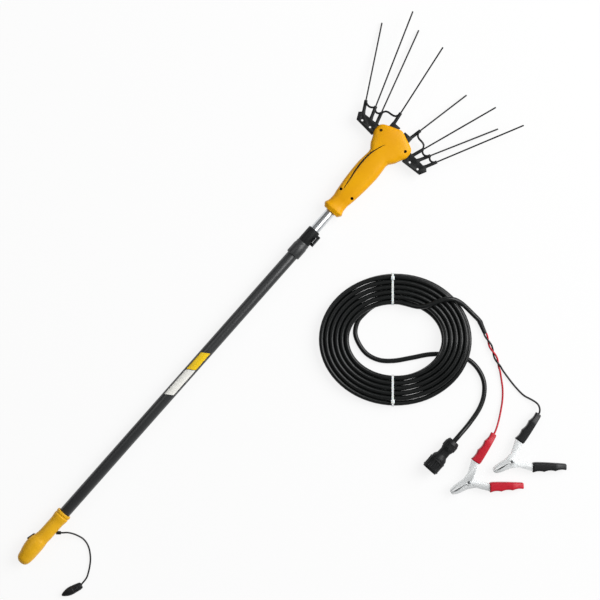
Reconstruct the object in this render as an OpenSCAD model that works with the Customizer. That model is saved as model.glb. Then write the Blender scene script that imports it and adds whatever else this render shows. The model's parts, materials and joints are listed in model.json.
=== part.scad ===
// Electric olive harvester: telescopic pole, vibrating head with two swinging combs,
// and a coiled supply cable with a connector and two battery clamps.
// Millimetres. Y runs along the pole towards the tines, Z is up, the floor is at zero.

/* [Pole] */
// Outside diameter of the outer tube
tube_d = 30; // [26:0.5:34]
// Wall of the outer tube
tube_wall = 1.5; // [1.2:0.1:2]
// Length of the outer tube
tube_len = 1000; // [700:10:1400]
// Length of outer tube held inside the grip
tube_seat = 80; // [60:1:84]
// Outside diameter of the inner tube
inner_d = 26; // [22:0.5:26]
// Wall of the inner tube
inner_wall = 1.5; // [1:0.1:2]
// Length of the inner tube
inner_len = 1000; // [900:10:1060]
// Length of inner tube in sight at the set extension
inner_show = 63; // [55:1:120]
// Length of inner tube held inside the head
inner_seat = 52; // [40:1:56]
// Least room between the grip and the inner tube's guide bush
stop_room = 60; // [10:1:80]

/* [Grip] */
// Length of the grip
grip_len = 172; // [150:1:200]
// Radius of the grip at its plain stretch
grip_r = 18.5; // [18:0.5:21]
// Wall of the grip shells
grip_wall = 2.6; // [2:0.1:3]
// How far the switch end swells out sideways
hump_rise = 8.3; // [6:0.1:10]
// Length of the switch button along the grip
switch_len = 22; // [16:1:24]
// Width of the switch button
switch_w = 12; // [8:1:14]
// How far the switch button stands proud
switch_proud = 2.6; // [2.4:0.1:4]
// Travel of the switch button
switch_travel = 2; // [1:0.5:2]

/* [Lock] */
// Length of the lock sleeve on the outer tube
sleeve_len = 44; // [36:1:60]
// Outside diameter of the lock sleeve
sleeve_d = 38; // [36:0.5:42]
// Length of outer tube held inside the lock sleeve
sleeve_seat = 26; // [16:1:30]
// Length of the lock collar
collar_len = 44; // [40:1:60]
// Outside diameter of the lock collar
collar_d = 34; // [32:0.5:38]
// Width of the flip lever along the pole
lever_w = 17; // [12:1:20]
// Height of the flip lever's paddle above its pin
lever_len = 22; // [14:1:26]
// Thickness of the flip lever's paddle
lever_t = 5; // [4:0.5:6]
// Diameter of the flip lever's pin
lever_pin_d = 4; // [3:0.5:5]

/* [Head] */
// Length of the head's neck, up to the lobes
neck_len = 181; // [170:1:210]
// Length of the head's lobes
lobe_len = 97; // [92:1:104]
// Half width of the neck at the motor
neck_half = 33; // [30:0.5:38]
// Half width across the lobes
lobe_half = 57; // [54:0.5:64]
// Height of the head
head_height = 48; // [48:0.5:56]
// Wall of the head shells
head_wall = 2.5; // [2:0.1:3]
// Height of the raised leaf panel on the neck
leaf_rise = 1.2; // [0.8:0.1:2]
// Diameter of the case screws
screw_d = 4; // [3:0.5:5]

/* [Drive] */
// Diameter of the motor
motor_d = 40; // [34:1:40]
// Length of the motor
motor_len = 85; // [70:1:90]
// Throw of the crank
crank_throw = 3; // [2:0.5:3]
// Diameter of the crank's eccentric pins
crank_pin_d = 8; // [6:0.5:9]
// Thickness of the connecting rods
rod_t = 4; // [3:0.5:4.5]

/* [Combs] */
// Half distance between the comb pivots
pivot_half = 42; // [40:0.5:44]
// Distance of the comb pivots behind the front of the head
pivot_back = 34; // [32:0.5:36]
// Diameter of the comb pivots
pivot_d = 10; // [8:0.5:11]
// Distance from a comb's pivot to its lever pin
lever_arm = 15; // [15:0.5:17]
// Half width across the comb wings
wing_half = 118; // [112:1:130]
// Thickness of the comb wings
wing_t = 11; // [8:0.5:13]
// Diameter of the tine stems
stem_d = 9; // [7:0.5:11]
// Length of the tine stems
stem_len = 34; // [30:1:44]
// Thickness of the bridge strap between the stems
strap_t = 4.5; // [3:0.5:6]
// Diameter of the tines
tine_d = 4; // [3:0.5:5]
// How far the tips rise or fall from the middle plane
tine_rise = 19; // [10:1:20]

/* [Cable] */
// Diameter of the supply cable
cable_d = 12.7; // [10:0.1:12.7]
// Distance between neighbouring turns of the coil
coil_pitch = 13.2; // [13.2:0.1:15]
// Mean radius of the coil's inner turn
coil_r = 110; // [100:1:120]
// How much wider than tall the coil is, as half the difference
coil_oval = 13.5; // [8:0.5:18]
// Width of a cable tie
tie_w = 5.5; // [4:0.5:8]
// Thickness of a cable tie
tie_t = 1.2; // [0.8:0.1:1.6]
// Diameter of the battery leads
lead_d = 5; // [4:0.1:5.2]
// Diameter of the grip's pigtail
pigtail_d = 4.5; // [4:0.1:5]

/* [Connector] */
// Diameter of the coupling ring
ring_d = 45; // [42:0.5:50]
// Length of the coupling ring
ring_len = 31; // [26:1:36]
// Length of the connector body
body_len = 74; // [70:1:84]
// Length of the back nut
nut_len = 26; // [20:1:32]
// Diameter of the pigtail plug, which fits the connector's socket
plug_d = 17.5; // [15:0.5:18]
// Length of the pigtail plug
plug_len = 59; // [50:1:66]

/* [Battery clamps] */
// Length of the clamp nose in front of its pivot
nose_len = 54; // [46:1:60]
// Width of the clamp's sheet channel
clamp_w = 22; // [20:0.5:24]
// Thickness of the clamp's sheet
sheet_t = 1.4; // [1:0.1:1.6]
// Diameter of the clamp's pivot pin
clamp_pin_d = 5; // [4:0.5:6]
// Length of a handle sleeve
handle_len = 88; // [76:1:96]
// Wall of a handle sleeve
handle_wall = 2.4; // [2:0.1:3]
// Wire of the clamp's spring
wire_d = 2; // [1.5:0.1:2]
// Curls of the clamp's spring
spring_curls = 5; // [3:1:5]

/* [Hidden] */
$fn = 48;

yellow = "#e3a411";
black = "#222222";
steel = "#b9bcc0";
red = "#c8283a";
eps = 0.01;

// Running clearance of round fits, and free gap between bodies
run_gap = 0.05;
free_gap = 0.3;

// Stations along the pole, counted from the rear end of the grip
tube_start = grip_len - tube_seat;
tube_end = tube_start + tube_len;
sleeve_start = tube_end - sleeve_seat;
collar_start = sleeve_start + sleeve_len;
collar_end = collar_start + collar_len;
bush_len = 12;
bush_spigot = 15;
// The inner tube goes in as far as its bush leaves room, and stands out by the rest
deepest_start = grip_len + stop_room + bush_len;
inner_end = max(collar_end + inner_show + inner_seat, deepest_start + inner_len);
inner_start = inner_end - inner_len;
head_start = inner_end - inner_seat;
head_len = neck_len + lobe_len;
head_front = head_start + head_len;
pivot_y = head_front - pivot_back;
crank_y = pivot_y - lever_arm;
neck_screw = [0.576 * neck_half, head_start + 0.337 * neck_len];
screw_column_r = 1.2 * screw_d;
// The motor stands clear of the tube's end and of the neck's screw columns
motor_start = max(inner_end + 16, neck_screw[1] + screw_column_r + free_gap);
motor_end = motor_start + motor_len;

// Reach of the tines past the front of the head, from the outside in, and their places
left_reach = [181, 251, 230, 233];
right_reach = [220, 174, 207, 186];
tip_half = [227, 184, 142, 64];
base_half = [105, 81, 61, 28];
base_back = [32, 30, 33, 2];

total_len = head_front + max(left_reach);
pole_z = head_height / 2;

module on_pole() {
    translate([0, -total_len / 2, pole_z]) children();
}

module along_pole(start) {
    translate([0, start, 0]) rotate([-90, 0, 0]) children();
}

function unit(v) = v / norm(v);
function power(x, e) = sign(x) * pow(abs(x), e);

// One section of a loft: a rounded box with its own half width on each side
function section_point(s, angle, e) = [
    (cos(angle) >= 0 ? s[2] : s[1]) * power(cos(angle), 2 / e),
    s[0],
    s[3] * power(sin(angle), 2 / e)
];

function loft_points(sections, angles, e) = [
    for (s = sections)
        for (a = angles)
            section_point(s, a, e)
];

function loft_faces(rings, m) = concat(
    [for (i = [1 : m - 2]) [0, i + 1, i]],
    [for (r = [0 : rings - 2]) for (i = [0 : m - 1]) [r * m + i, r * m + (i + 1) % m, (r + 1) * m + i]],
    [for (r = [0 : rings - 2]) for (i = [0 : m - 1])
        [(r + 1) * m + i, r * m + (i + 1) % m, (r + 1) * m + (i + 1) % m]],
    [for (i = [1 : m - 2]) [(rings - 1) * m, (rings - 1) * m + i, (rings - 1) * m + i + 1]]
);

// Half of a loft, above the middle plane; the lower half is its mirror image
module half_loft(sections, e, steps) {
    angles = [for (i = [0 : steps]) 180 * i / steps];
    polyhedron(loft_points(sections, angles, e), loft_faces(len(sections), steps + 1));
}

module full_loft(sections, e, steps) {
    angles = [for (i = [0 : steps - 1]) 360 * i / steps];
    polyhedron(loft_points(sections, angles, e), loft_faces(len(sections), steps));
}

// One section between those given
function section_at(sections, y) = concat(
    [y], [for (k = [1 : 3]) lookup(y, [for (s = sections) [s[0], s[k]]])]
);

// Sections drawn in by a wall, from a first to a last place
function drawn_in(sections, wall, first, last) = [
    for (s = concat([section_at(sections, first)], sections, [section_at(sections, last)]))
        if ((s[0] > first && s[0] < last) || s[0] == first || s[0] == last)
            [s[0], s[1] - wall, s[2] - wall, s[3] - wall]
];

// A round tube swept along points
function tangent(p, i) = unit(p[min(i + 1, len(p) - 1)] - p[max(i - 1, 0)]);
function side_of(t) = unit(cross(t, [0, 0, 1]));

function tube_points(p, r, sides) = [
    for (i = [0 : len(p) - 1])
        let (t = tangent(p, i), s = side_of(t), u = cross(s, t))
            for (k = [0 : sides - 1])
                p[i] + r * cos(360 * k / sides) * s + r * sin(360 * k / sides) * u
];

module swept_tube(p, r, sides) {
    polyhedron(tube_points(p, r, sides), loft_faces(len(p), sides));
}

function bump(x, flat, fade) = abs(x) <= flat ? 1
    : abs(x) >= flat + fade ? 0
    : 0.5 + 0.5 * cos(180 * (abs(x) - flat) / fade);

// Grip

// Share of the grip's length, then what the left side, right side and height add to its radius
grip_form = [
    [0, -8.5, -8.5, -8.5], [0.02, -5.5, -5.5, -5.5], [0.06, -0.5, -1.5, -0.5],
    [0.13, 0.25 * hump_rise, 0.8, 2.5], [0.2, 0.66 * hump_rise, 1.5, 4.5],
    [0.27, 0.9 * hump_rise, 1.5, 5.5], [0.35, hump_rise, 1.5, 5.5],
    [0.42, 0.75 * hump_rise, 0.7, 4.2], [0.49, 0.22 * hump_rise, -0.6, 1],
    [0.57, 0, 0, 0], [0.74, 0, 0, 0], [0.8, -0.9, -0.9, -0.9], [0.86, -0.4, -0.4, -0.4],
    [0.89, 1.8, 1.8, 1.8], [0.93, 1.8, 1.8, 1.8], [0.94, 0.6, 0.6, 0.6], [0.955, 0.6, 0.6, 0.6],
    [0.965, 1.8, 1.8, 1.8], [1, 1.8, 1.8, 1.8]
];
grip_sections = [
    for (f = grip_form)
        [f[0] * grip_len, grip_r + f[1], grip_r + f[2], grip_r + f[3]]
];
grip_round = 2.2;
grip_steps = 16;
grip_cavity_start = 0.05 * grip_len;

// Place of the switch on the swollen side, and the direction that its button faces
switch_y = 0.4 * grip_len;
switch_x = -(grip_r + 0.78 * hump_rise);
switch_tilt = 14;
button_depth = 5;
switch_box = [switch_len - 4, 10, switch_w + 2];
grip_screw_y = 0.12 * grip_len;

module at_switch() {
    translate([switch_x, switch_y, 0]) rotate([0, 0, 90 - switch_tilt]) children();
}

module switch_window() {
    at_switch()
        translate([-switch_len / 2 - free_gap, -grip_wall - button_depth, -switch_w / 2 - free_gap])
            cube([switch_len + 2 * free_gap, 4 * grip_wall + button_depth, switch_w + 2 * free_gap]);
}

module grip_half(up) {
    difference() {
        mirror([0, 0, up ? 0 : 1]) half_loft(grip_sections, grip_round, grip_steps);
        difference() {
            full_loft(
                drawn_in(grip_sections, grip_wall, grip_cavity_start, tube_start - grip_wall),
                grip_round, grip_steps);
            translate([0, grip_screw_y, -grip_r]) cylinder(d = 2.2 * screw_d, h = 2 * grip_r);
            switch_post(up);
        }
        along_pole(tube_start) cylinder(d = tube_d + 2 * run_gap, h = grip_len);
        switch_window();
        pigtail_hole();
        translate([0, grip_screw_y, -grip_r + 4]) cylinder(d = screw_d, h = 2 * grip_r);
        if (up) translate([0, grip_screw_y, grip_r - 4]) cylinder(d = 2 * screw_d, h = grip_r);
    }
}

// The post that carries the switch body inside the swelling
module switch_post(up) {
    reach = grip_r + hump_rise;
    at_switch()
        translate([-4, -button_depth - switch_travel - free_gap - switch_box[1],
                   up ? switch_box[2] / 2 : -switch_box[2] / 2 - reach])
            cube([8, switch_box[1], reach]);
}

module grip_top() {
    color(yellow) on_pole() grip_half(true);
}

module grip_bottom() {
    color(yellow) on_pole() grip_half(false);
}

module case_screw(top, length) {
    translate([0, 0, top - 2.5]) cylinder(d = 1.9 * screw_d, h = 2.5);
    translate([0, 0, top - length]) cylinder(d = screw_d, h = length);
}

module grip_screws() {
    color(steel) on_pole()
        translate([0, grip_screw_y, 0]) case_screw(grip_r - 1.5, 2 * grip_r - 6);
}

module power_switch() {
    color("#3a2f2a") on_pole() at_switch()
        translate([-switch_len / 2, -button_depth, -switch_w / 2])
            cube([switch_len, button_depth + switch_proud, switch_w]);
}

module switch_body() {
    color(black) on_pole() at_switch()
        translate([-switch_box[0] / 2, -button_depth - switch_travel - free_gap - switch_box[1],
                   -switch_box[2] / 2])
            cube(switch_box);
}

// Pigtail

pigtail_turn = 41.5;
grommet_len = 12;
grommet_d = 2 * pigtail_d;
pigtail_exit = [tube_d / 2 + grommet_d / 2 * sin(pigtail_turn) + free_gap, 0.69 * grip_len, 0];

module at_pigtail() {
    translate(pigtail_exit) rotate([0, 0, pigtail_turn]) rotate([0, 90, 0]) children();
}

module pigtail_hole() {
    at_pigtail() cylinder(d = grommet_d, h = 2 * grommet_len);
}

module pigtail_grommet() {
    color(black) on_pole() at_pigtail() {
        difference() {
            cylinder(d = grommet_d, h = grommet_len);
            translate([0, 0, grommet_len / 2]) cylinder(d = pigtail_d + 2 * run_gap, h = grommet_len);
        }
    }
}

// Route of the pigtail from its grommet to its plug: across, along from the grip's rear, up
pigtail_route = [
    [40, 138, 21], [52, 144, 15], [66, 148, 9], [80, 150, 5], [94, 148, 3], [108, 142, 3],
    [120, 133, 3], [131, 122, 3], [141, 108, 3], [149, 94, 4], [155, 80, 6]
];
pigtail_dir = [cos(pigtail_turn), sin(pigtail_turn), 0];
pigtail_start = pigtail_exit + (grommet_len / 2) * pigtail_dir + [0, 0, pole_z];
plug_back = [158, 58, plug_d / 2];
plug_turn = 21;
plug_dir = [-sin(plug_turn), -cos(plug_turn), 0];
pigtail_points = concat(
    [pigtail_start, pigtail_start + (grommet_len / 2 + pigtail_d) * pigtail_dir],
    pigtail_route,
    [plug_back - 2 * pigtail_d * plug_dir, plug_back]
);

module on_floor_by_grip() {
    translate([0, -total_len / 2, 0]) children();
}

module pigtail_cord() {
    color(black) on_floor_by_grip() swept_tube(pigtail_points, pigtail_d / 2, 8);
}

module pigtail_plug() {
    color(black) on_floor_by_grip()
        translate(plug_back) rotate([0, 0, 180 - plug_turn]) rotate([-90, 0, 0])
            rotate_extrude()
                polygon([
                    [0, 0], [0.28 * plug_d, 0], [0.46 * plug_d, 3], [0.5 * plug_d, 8],
                    [0.5 * plug_d, 0.4 * plug_len], [0.42 * plug_d, 0.44 * plug_len],
                    [0.42 * plug_d, 0.5 * plug_len], [0.36 * plug_d, 0.75 * plug_len],
                    [0.2 * plug_d, 0.96 * plug_len], [0, plug_len]
                ]);
}

// Pole tubes

module pipe(d, wall, length) {
    difference() {
        cylinder(d = d, h = length);
        translate([0, 0, -1]) cylinder(d = d - 2 * wall, h = length + 2);
    }
}

module outer_tube() {
    color("#333536") on_pole() along_pole(tube_start) pipe(tube_d, tube_wall, tube_len);
}

module inner_tube() {
    color("#c6c9cc") on_pole() along_pole(inner_start) pipe(inner_d, inner_wall, inner_len);
}

module guide_bush() {
    color(black) on_pole() along_pole(inner_start - bush_len)
        difference() {
            union() {
                cylinder(d = tube_d - 2 * tube_wall - 2 * run_gap, h = bush_len);
                cylinder(d = inner_d - 2 * inner_wall, h = bush_len + bush_spigot);
            }
            translate([0, 0, -1]) cylinder(d = inner_d - 2 * inner_wall - 5, h = bush_len + bush_spigot + 2);
        }
}

// Telescopic lock

lever_pin_x = collar_d / 2 + lever_pin_d / 2 + 2.5;
lug_t = (collar_len - lever_w - 2 * free_gap - 12) / 2;
lug_start = collar_start + 6;
lug_r = lever_pin_d / 2 + 2;
collar_slot = 2;

module lock_sleeve() {
    r = sleeve_d / 2;
    color(black) on_pole() along_pole(sleeve_start)
        difference() {
            rotate_extrude()
                polygon([
                    [0, 0], [r - 2, 0], [r, 2], [r, 0.7 * sleeve_len], [r - 1.2, 0.76 * sleeve_len],
                    [r - 1.2, sleeve_len - 3], [r - 2.2, sleeve_len], [0, sleeve_len]
                ]);
            translate([0, 0, -1]) cylinder(d = inner_d + 2 * run_gap, h = sleeve_len + 2);
            translate([0, 0, -1]) cylinder(d = tube_d + 2 * run_gap, h = sleeve_seat + 1);
        }
}

module lock_collar() {
    color(black) on_pole() {
        difference() {
            union() {
                along_pole(collar_start)
                    rotate_extrude()
                        polygon([
                            [0, 0], [collar_d / 2 - 1, 0], [collar_d / 2, 1],
                            [collar_d / 2, collar_len - 2], [collar_d / 2 - 2, collar_len], [0, collar_len]
                        ]);
                for (y = [lug_start, lug_start + lug_t + lever_w + 2 * free_gap]) lever_lug(y);
            }
            along_pole(collar_start - 1) cylinder(d = inner_d + 2 * run_gap, h = collar_len + 2);
            along_pole(collar_start - 1)
                translate([lever_pin_x, 0, 0]) cylinder(d = lever_pin_d, h = collar_len + 2);
            translate([0, collar_start + 4, -collar_slot / 2]) cube([collar_d, collar_len, collar_slot]);
        }
    }
}

module lever_lug(y) {
    along_pole(y) hull() {
        translate([lever_pin_x, 0, 0]) cylinder(r = lug_r, h = lug_t, $fn = 32);
        translate([collar_d / 2 - 3, -lug_r, 0]) cube([1, 2 * lug_r, lug_t]);
    }
}

module lever_pin() {
    color(steel) on_pole() along_pole(lug_start) translate([lever_pin_x, 0, 0])
        cylinder(d = lever_pin_d, h = 2 * lug_t + lever_w + 2 * free_gap);
}

module lock_lever() {
    cam_r = lever_pin_d / 2 + 2;
    color(black) on_pole() along_pole(lug_start + lug_t + free_gap)
        translate([lever_pin_x, 0, 0])
            difference() {
                union() {
                    cylinder(r = cam_r, h = lever_w);
                    lever_paddle(cam_r);
                }
                translate([0, 0, -1]) cylinder(d = lever_pin_d + 2 * run_gap, h = lever_w + 2);
            }
}

// The paddle curls over the collar; the pole's up direction is minus y here
module lever_paddle(cam_r) {
    linear_extrude(lever_w)
        polygon([
            [cam_r - lever_t, 0], [cam_r, 0], [cam_r, -0.5 * lever_len], [cam_r - 1.5, -0.8 * lever_len],
            [cam_r - 4, -lever_len], [cam_r - 4 - lever_t * 0.7, -lever_len + 2],
            [cam_r - lever_t - 0.8, -0.7 * lever_len], [cam_r - lever_t, -0.4 * lever_len]
        ]);
}

// Head

// Share of the neck, half width as a share of the neck's, half height as a share of the head's
neck_form = [
    [0, 0.68, 0.84], [0.025, 0.77, 0.92], [0.055, 0.87, 1], [0.09, 0.79, 0.96],
    [0.14, 0.72, 0.9], [0.2, 0.71, 0.88], [0.28, 0.78, 0.92], [0.44, 0.89, 0.98],
    [0.62, 0.97, 1], [0.79, 1, 1], [0.92, 0.95, 0.98], [1, 0.91, 0.96]
];
// Share of the lobes' length, how far the half width has grown from neck to lobe, half height
lobe_form = [
    [0.08, 0.04, 0.95], [0.165, 0.26, 0.93], [0.25, 0.47, 0.92], [0.33, 0.61, 0.91],
    [0.415, 0.75, 0.9], [0.5, 0.93, 0.89], [0.58, 1, 0.88], [0.66, 1, 0.86],
    [0.735, 0.95, 0.84], [0.8, 0.78, 0.81], [0.85, 0.5, 0.78], [0.9, 0.08, 0.74], [0.94, -0.34, 0.7],
    [0.975, -0.66, 0.66], [1, -0.92, 0.62]
];
neck_end_half = 0.91 * neck_half;
head_sections = concat(
    [for (f = neck_form)
        [head_start + f[0] * neck_len, f[1] * neck_half, f[1] * neck_half, f[2] * pole_z]],
    [for (f = lobe_form)
        let (half = neck_end_half + f[1] * (lobe_half - neck_end_half))
            [head_start + neck_len + f[0] * lobe_len, half, half, f[2] * pole_z]]
);
// The underside is a little fuller and then cut level, so that the head lies flat
foot_fill = 0.8;
foot_sections = [for (s = head_sections) [s[0], s[1], s[2], s[3] + foot_fill]];
head_round = 3;
head_steps = 14;
slot_half = 8.8;
slot_start = head_start + neck_len + 0.27 * lobe_len;
boss_half = slot_half - 0.3;
leaf_start = head_start + 0.32 * neck_len;
leaf_end = head_start + neck_len + 0.5 * lobe_len;
leaf_half = 21;

// What stays standing inside the shells: screw columns, pivot bosses and the tube's socket
module head_columns() {
    for (x = [-1, 1]) {
        translate([x * neck_screw[0], neck_screw[1], -pole_z]) cylinder(r = screw_column_r, h = 2 * pole_z);
        for (z = [-pole_z, boss_half])
            translate([x * pivot_half, pivot_y, z]) cylinder(d = pivot_d + 4, h = pole_z - boss_half);
    }
}

module head_screw_holes(up) {
    for (x = [-1, 1]) {
        for (p = [neck_screw, [pivot_half, pivot_y]])
            translate([x * p[0], p[1], -pole_z + 4]) cylinder(d = screw_d, h = 2 * pole_z);
        if (up) {
            translate([x * neck_screw[0], neck_screw[1], neck_seat_z]) cylinder(d = 2 * screw_d, h = pole_z);
            translate([x * pivot_half, pivot_y, lobe_seat_z]) cylinder(d = 2 * screw_d, h = pole_z);
        }
    }
}

// Heights of the screw head seats in the upper shell
neck_seat_z = 0.62 * pole_z;
lobe_seat_z = 0.7 * pole_z;

// Outside of the upper shell over a spot of its plan
function head_width(y) = lookup(y, [for (s = head_sections) [s[0], s[1]]]);
function head_crown(y) = lookup(y, [for (s = head_sections) [s[0], s[3]]]);
function head_surface(x, y) = let (share = abs(x) / head_width(y))
    head_crown(y) * pow(1 - pow(share, head_round), 1 / head_round);

leaf_rings = 10;
leaf_across = 6;

// One cross-section of the leaf: its top edge from right to left, then its buried underside
function leaf_ring(f) = let (
    y = leaf_start + f * (leaf_end - leaf_start),
    half = leaf_half * sin(180 * (0.02 + 0.96 * f))
) concat(
    [for (k = [leaf_across : -1 : 0])
        let (x = half * (2 * k / leaf_across - 1)) [x, y, head_surface(x, y) + leaf_rise]],
    [for (k = [0 : leaf_across])
        let (x = half * (2 * k / leaf_across - 1)) [x, y, head_surface(x, y) - head_wall / 2]]
);

module leaf_panel() {
    points = [for (r = [0 : leaf_rings]) each leaf_ring(r / leaf_rings)];
    polyhedron(points, loft_faces(leaf_rings + 1, 2 * (leaf_across + 1)));
}

module head_half(up) {
    difference() {
        union() {
            if (up) half_loft(head_sections, head_round, head_steps);
            else mirror([0, 0, 1]) half_loft(foot_sections, head_round, head_steps);
            if (up) leaf_panel();
        }
        difference() {
            full_loft(
                drawn_in(head_sections, head_wall, inner_end + head_wall, head_front - 2 * head_wall),
                head_round, 2 * head_steps);
            head_columns();
        }
        along_pole(head_start - 1) cylinder(d = inner_d + 2 * run_gap, h = inner_seat + 1 + eps);
        translate([-lobe_half - 5, slot_start, -slot_half])
            cube([2 * lobe_half + 10, lobe_len, 2 * slot_half]);
        head_screw_holes(up);
        if (!up) translate([-lobe_half, head_start - 5, -2 * pole_z])
            cube([2 * lobe_half, head_len + 10, pole_z]);
    }
}

module head_top() {
    color(yellow) on_pole() head_half(true);
}

module head_bottom() {
    color(yellow) on_pole() head_half(false);
}

module head_screws() {
    color(steel) on_pole()
        for (x = [-1, 1]) {
            translate([x * neck_screw[0], neck_screw[1], 0])
                case_screw(neck_seat_z + 2.5, neck_seat_z + 2.5 + pole_z - 8);
            translate([x * pivot_half, pivot_y, 0])
                case_screw(lobe_seat_z + 2.5, lobe_seat_z + 2.5 + pole_z - 8);
        }
}

// Drive

gear_top = -slot_half - 1.7;
shaft_d = 10;
gear_floor = -0.88 * pole_z + head_wall + 0.6;
rod_plane = slot_half - 2.6;
eye_small_r = 5.5;
lever_pin_r = 3;
eye_big_r = crank_pin_d / 2 + 2 * crank_throw + 0.6;
eye_rim = 3;

module motor() {
    color("#8a8d90") on_pole() along_pole(motor_start) {
        rotate_extrude()
            polygon([
                [0, 0], [motor_d / 2 - 3, 0], [motor_d / 2, 3], [motor_d / 2, motor_len - 2],
                [motor_d / 2 - 2, motor_len], [0, motor_len]
            ]);
        translate([0, 0, -4]) cylinder(d = 13, h = 4 + eps);
    }
}

// A block on the motor's nose, then a low deck that carries the crank
module gearbox() {
    half = 0.4 * motor_d;
    color("#9a9da0") on_pole() difference() {
        union() {
            translate([-half, motor_end, gear_floor]) cube([2 * half, 32, 2 * -gear_floor]);
            translate([-half, motor_end, gear_floor])
                cube([2 * half, crank_y + 12 - motor_end, gear_top - gear_floor]);
        }
        translate([0, crank_y, gear_floor + 2]) cylinder(d = shaft_d + 2 * run_gap, h = 2 * pole_z);
        crank_room();
    }
}

// Room that the rod eyes sweep round the crank
module crank_room() {
    translate([0, crank_y, gear_top + eps])
        cylinder(r = eye_big_r + eye_rim + 2 * crank_throw + 2, h = 2 * pole_z);
}

module crank() {
    web_half = rod_plane - rod_t - 0.6;
    color(steel) on_pole() translate([0, crank_y, 0]) {
        translate([0, 0, gear_floor + 2 + free_gap])
            cylinder(d = shaft_d, h = -rod_plane - gear_floor - 2 - 2 * free_gap - 0.2);
        translate([0, crank_throw, -rod_plane - 0.6]) cylinder(d = crank_pin_d, h = rod_plane + 0.6);
        translate([0, 0, -web_half]) cylinder(d = crank_pin_d + 2 * crank_throw + 2, h = 2 * web_half);
        translate([0, -crank_throw, 0]) cylinder(d = crank_pin_d, h = rod_plane);
    }
}

// A rod lies in its own level and reaches from the crank out to its comb's lever pin
module rod(side) {
    difference() {
        union() {
            cylinder(r = eye_big_r + eye_rim, h = rod_t);
            translate([side * pivot_half, 0, 0]) cylinder(r = eye_small_r, h = rod_t);
            translate([side > 0 ? 0 : -pivot_half, -3, 0]) cube([pivot_half, 6, rod_t]);
        }
        translate([0, 0, -1]) cylinder(r = eye_big_r, h = rod_t + 2);
        translate([side * pivot_half, 0, -1]) cylinder(r = lever_pin_r + run_gap, h = rod_t + 2);
    }
}

module left_rod() {
    color(steel) on_pole() translate([0, crank_y, -rod_plane]) rod(-1);
}

module right_rod() {
    color(steel) on_pole() translate([0, crank_y, rod_plane - rod_t]) rod(1);
}

module comb_pivot() {
    difference() {
        translate([0, 0, -boss_half]) cylinder(d = pivot_d, h = 2 * boss_half);
        translate([0, 0, -boss_half - 1]) cylinder(d = screw_d, h = 2 * boss_half + 2);
    }
}

module left_pivot() {
    color(steel) on_pole() translate([-pivot_half, pivot_y, 0]) comb_pivot();
}

module right_pivot() {
    color(steel) on_pole() translate([pivot_half, pivot_y, 0]) comb_pivot();
}

// Combs: the right one is the left one turned half round about the pole

hub_r = lever_arm - eye_small_r - 1;
hub_half = boss_half - free_gap;
strap_half = 5;
socket_depth = stem_len - 8;
block_half = wing_t / 2 + 1;
hole_d = 6;

// Where a tine starts, which way it runs, and how long it is: index counts from the outside
function tine_base(i) = [-base_half[i], head_front - base_back[i], 0];
function tine_tip(i, reach) = [-tip_half[i], head_front + reach[i], (i % 2 == 1 ? 1 : -1) * tine_rise];
function tine_dir(i, reach) = unit(tine_tip(i, reach) - tine_base(i));
function stem_top(i, reach) = tine_base(i) + stem_len * tine_dir(i, reach);

module toward(dir) {
    rotate([0, acos(dir[2]), atan2(dir[1], dir[0])]) children();
}

module wing_plan() {
    front = head_front - 29;
    rear = head_front - 58;
    polygon([
        [-pivot_half, pivot_y - hub_r], [-pivot_half - 7, pivot_y - hub_r], [-pivot_half - 10, rear],
        [-wing_half + 9, rear + 4], [-wing_half, front - 7], [-wing_half + 6, front - 1],
        [-pivot_half - 17, front + 2], [-pivot_half - 8, front + 4], [-pivot_half, pivot_y + hub_r]
    ]);
}

// Lightening holes between the stems
module wing_holes() {
    for (i = [0 : 2])
        translate([-base_half[i] + (i == 0 ? 9 : 12), head_front - 46]) circle(d = hole_d);
}

module block_plan() {
    inner = base_half[3] - 20;
    outer = base_half[3] + 6;
    polygon([
        [-pivot_half - 4, pivot_y + 6], [-outer, head_front - 11], [-outer, head_front + 4],
        [-inner, head_front + 4], [-inner, head_front - 13], [-outer + 8, head_front - 13],
        [-pivot_half + 5, pivot_y - 6]
    ]);
}

// A flat path moved sideways, to its right for a positive distance
function shifted(path, d) = [
    for (i = [0 : len(path) - 1])
        let (t = unit(path[min(i + 1, len(path) - 1)] - path[max(i - 1, 0)]))
            path[i] + d * [t[1], -t[0]]
];

function reversed(list) = [for (i = [len(list) - 1 : -1 : 0]) list[i]];

// The bridge strap sags between neighbouring stems, and waves before the innermost one
strap_steps = 8;
strap_sag = 7;
strap_wave = 6;
function flat(p) = [p[0], p[1]];
function strap_line(reach) = [
    for (i = [0 : 2]) for (k = [(i == 0 ? 0 : 1) : strap_steps])
        let (a = flat(stem_top(i, reach)), b = flat(stem_top(i + 1, reach)), t = k / strap_steps,
             d = unit(b - a), sag = i == 2 ? strap_wave * sin(360 * t) : -strap_sag * sin(180 * t))
            a + (b - a) * t + sag * [-d[1], d[0]]
];

module strap(reach) {
    line = strap_line(reach);
    translate([0, 0, -strap_half]) linear_extrude(2 * strap_half)
        polygon(concat(shifted(line, strap_t / 2), reversed(shifted(line, -strap_t / 2))));
}

module stem(i, reach) {
    translate(tine_base(i)) toward(tine_dir(i, reach)) {
        translate([0, 0, -3]) cylinder(d1 = stem_d + 3, d2 = stem_d, h = 12);
        cylinder(d = stem_d, h = stem_len + 3);
    }
}

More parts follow.
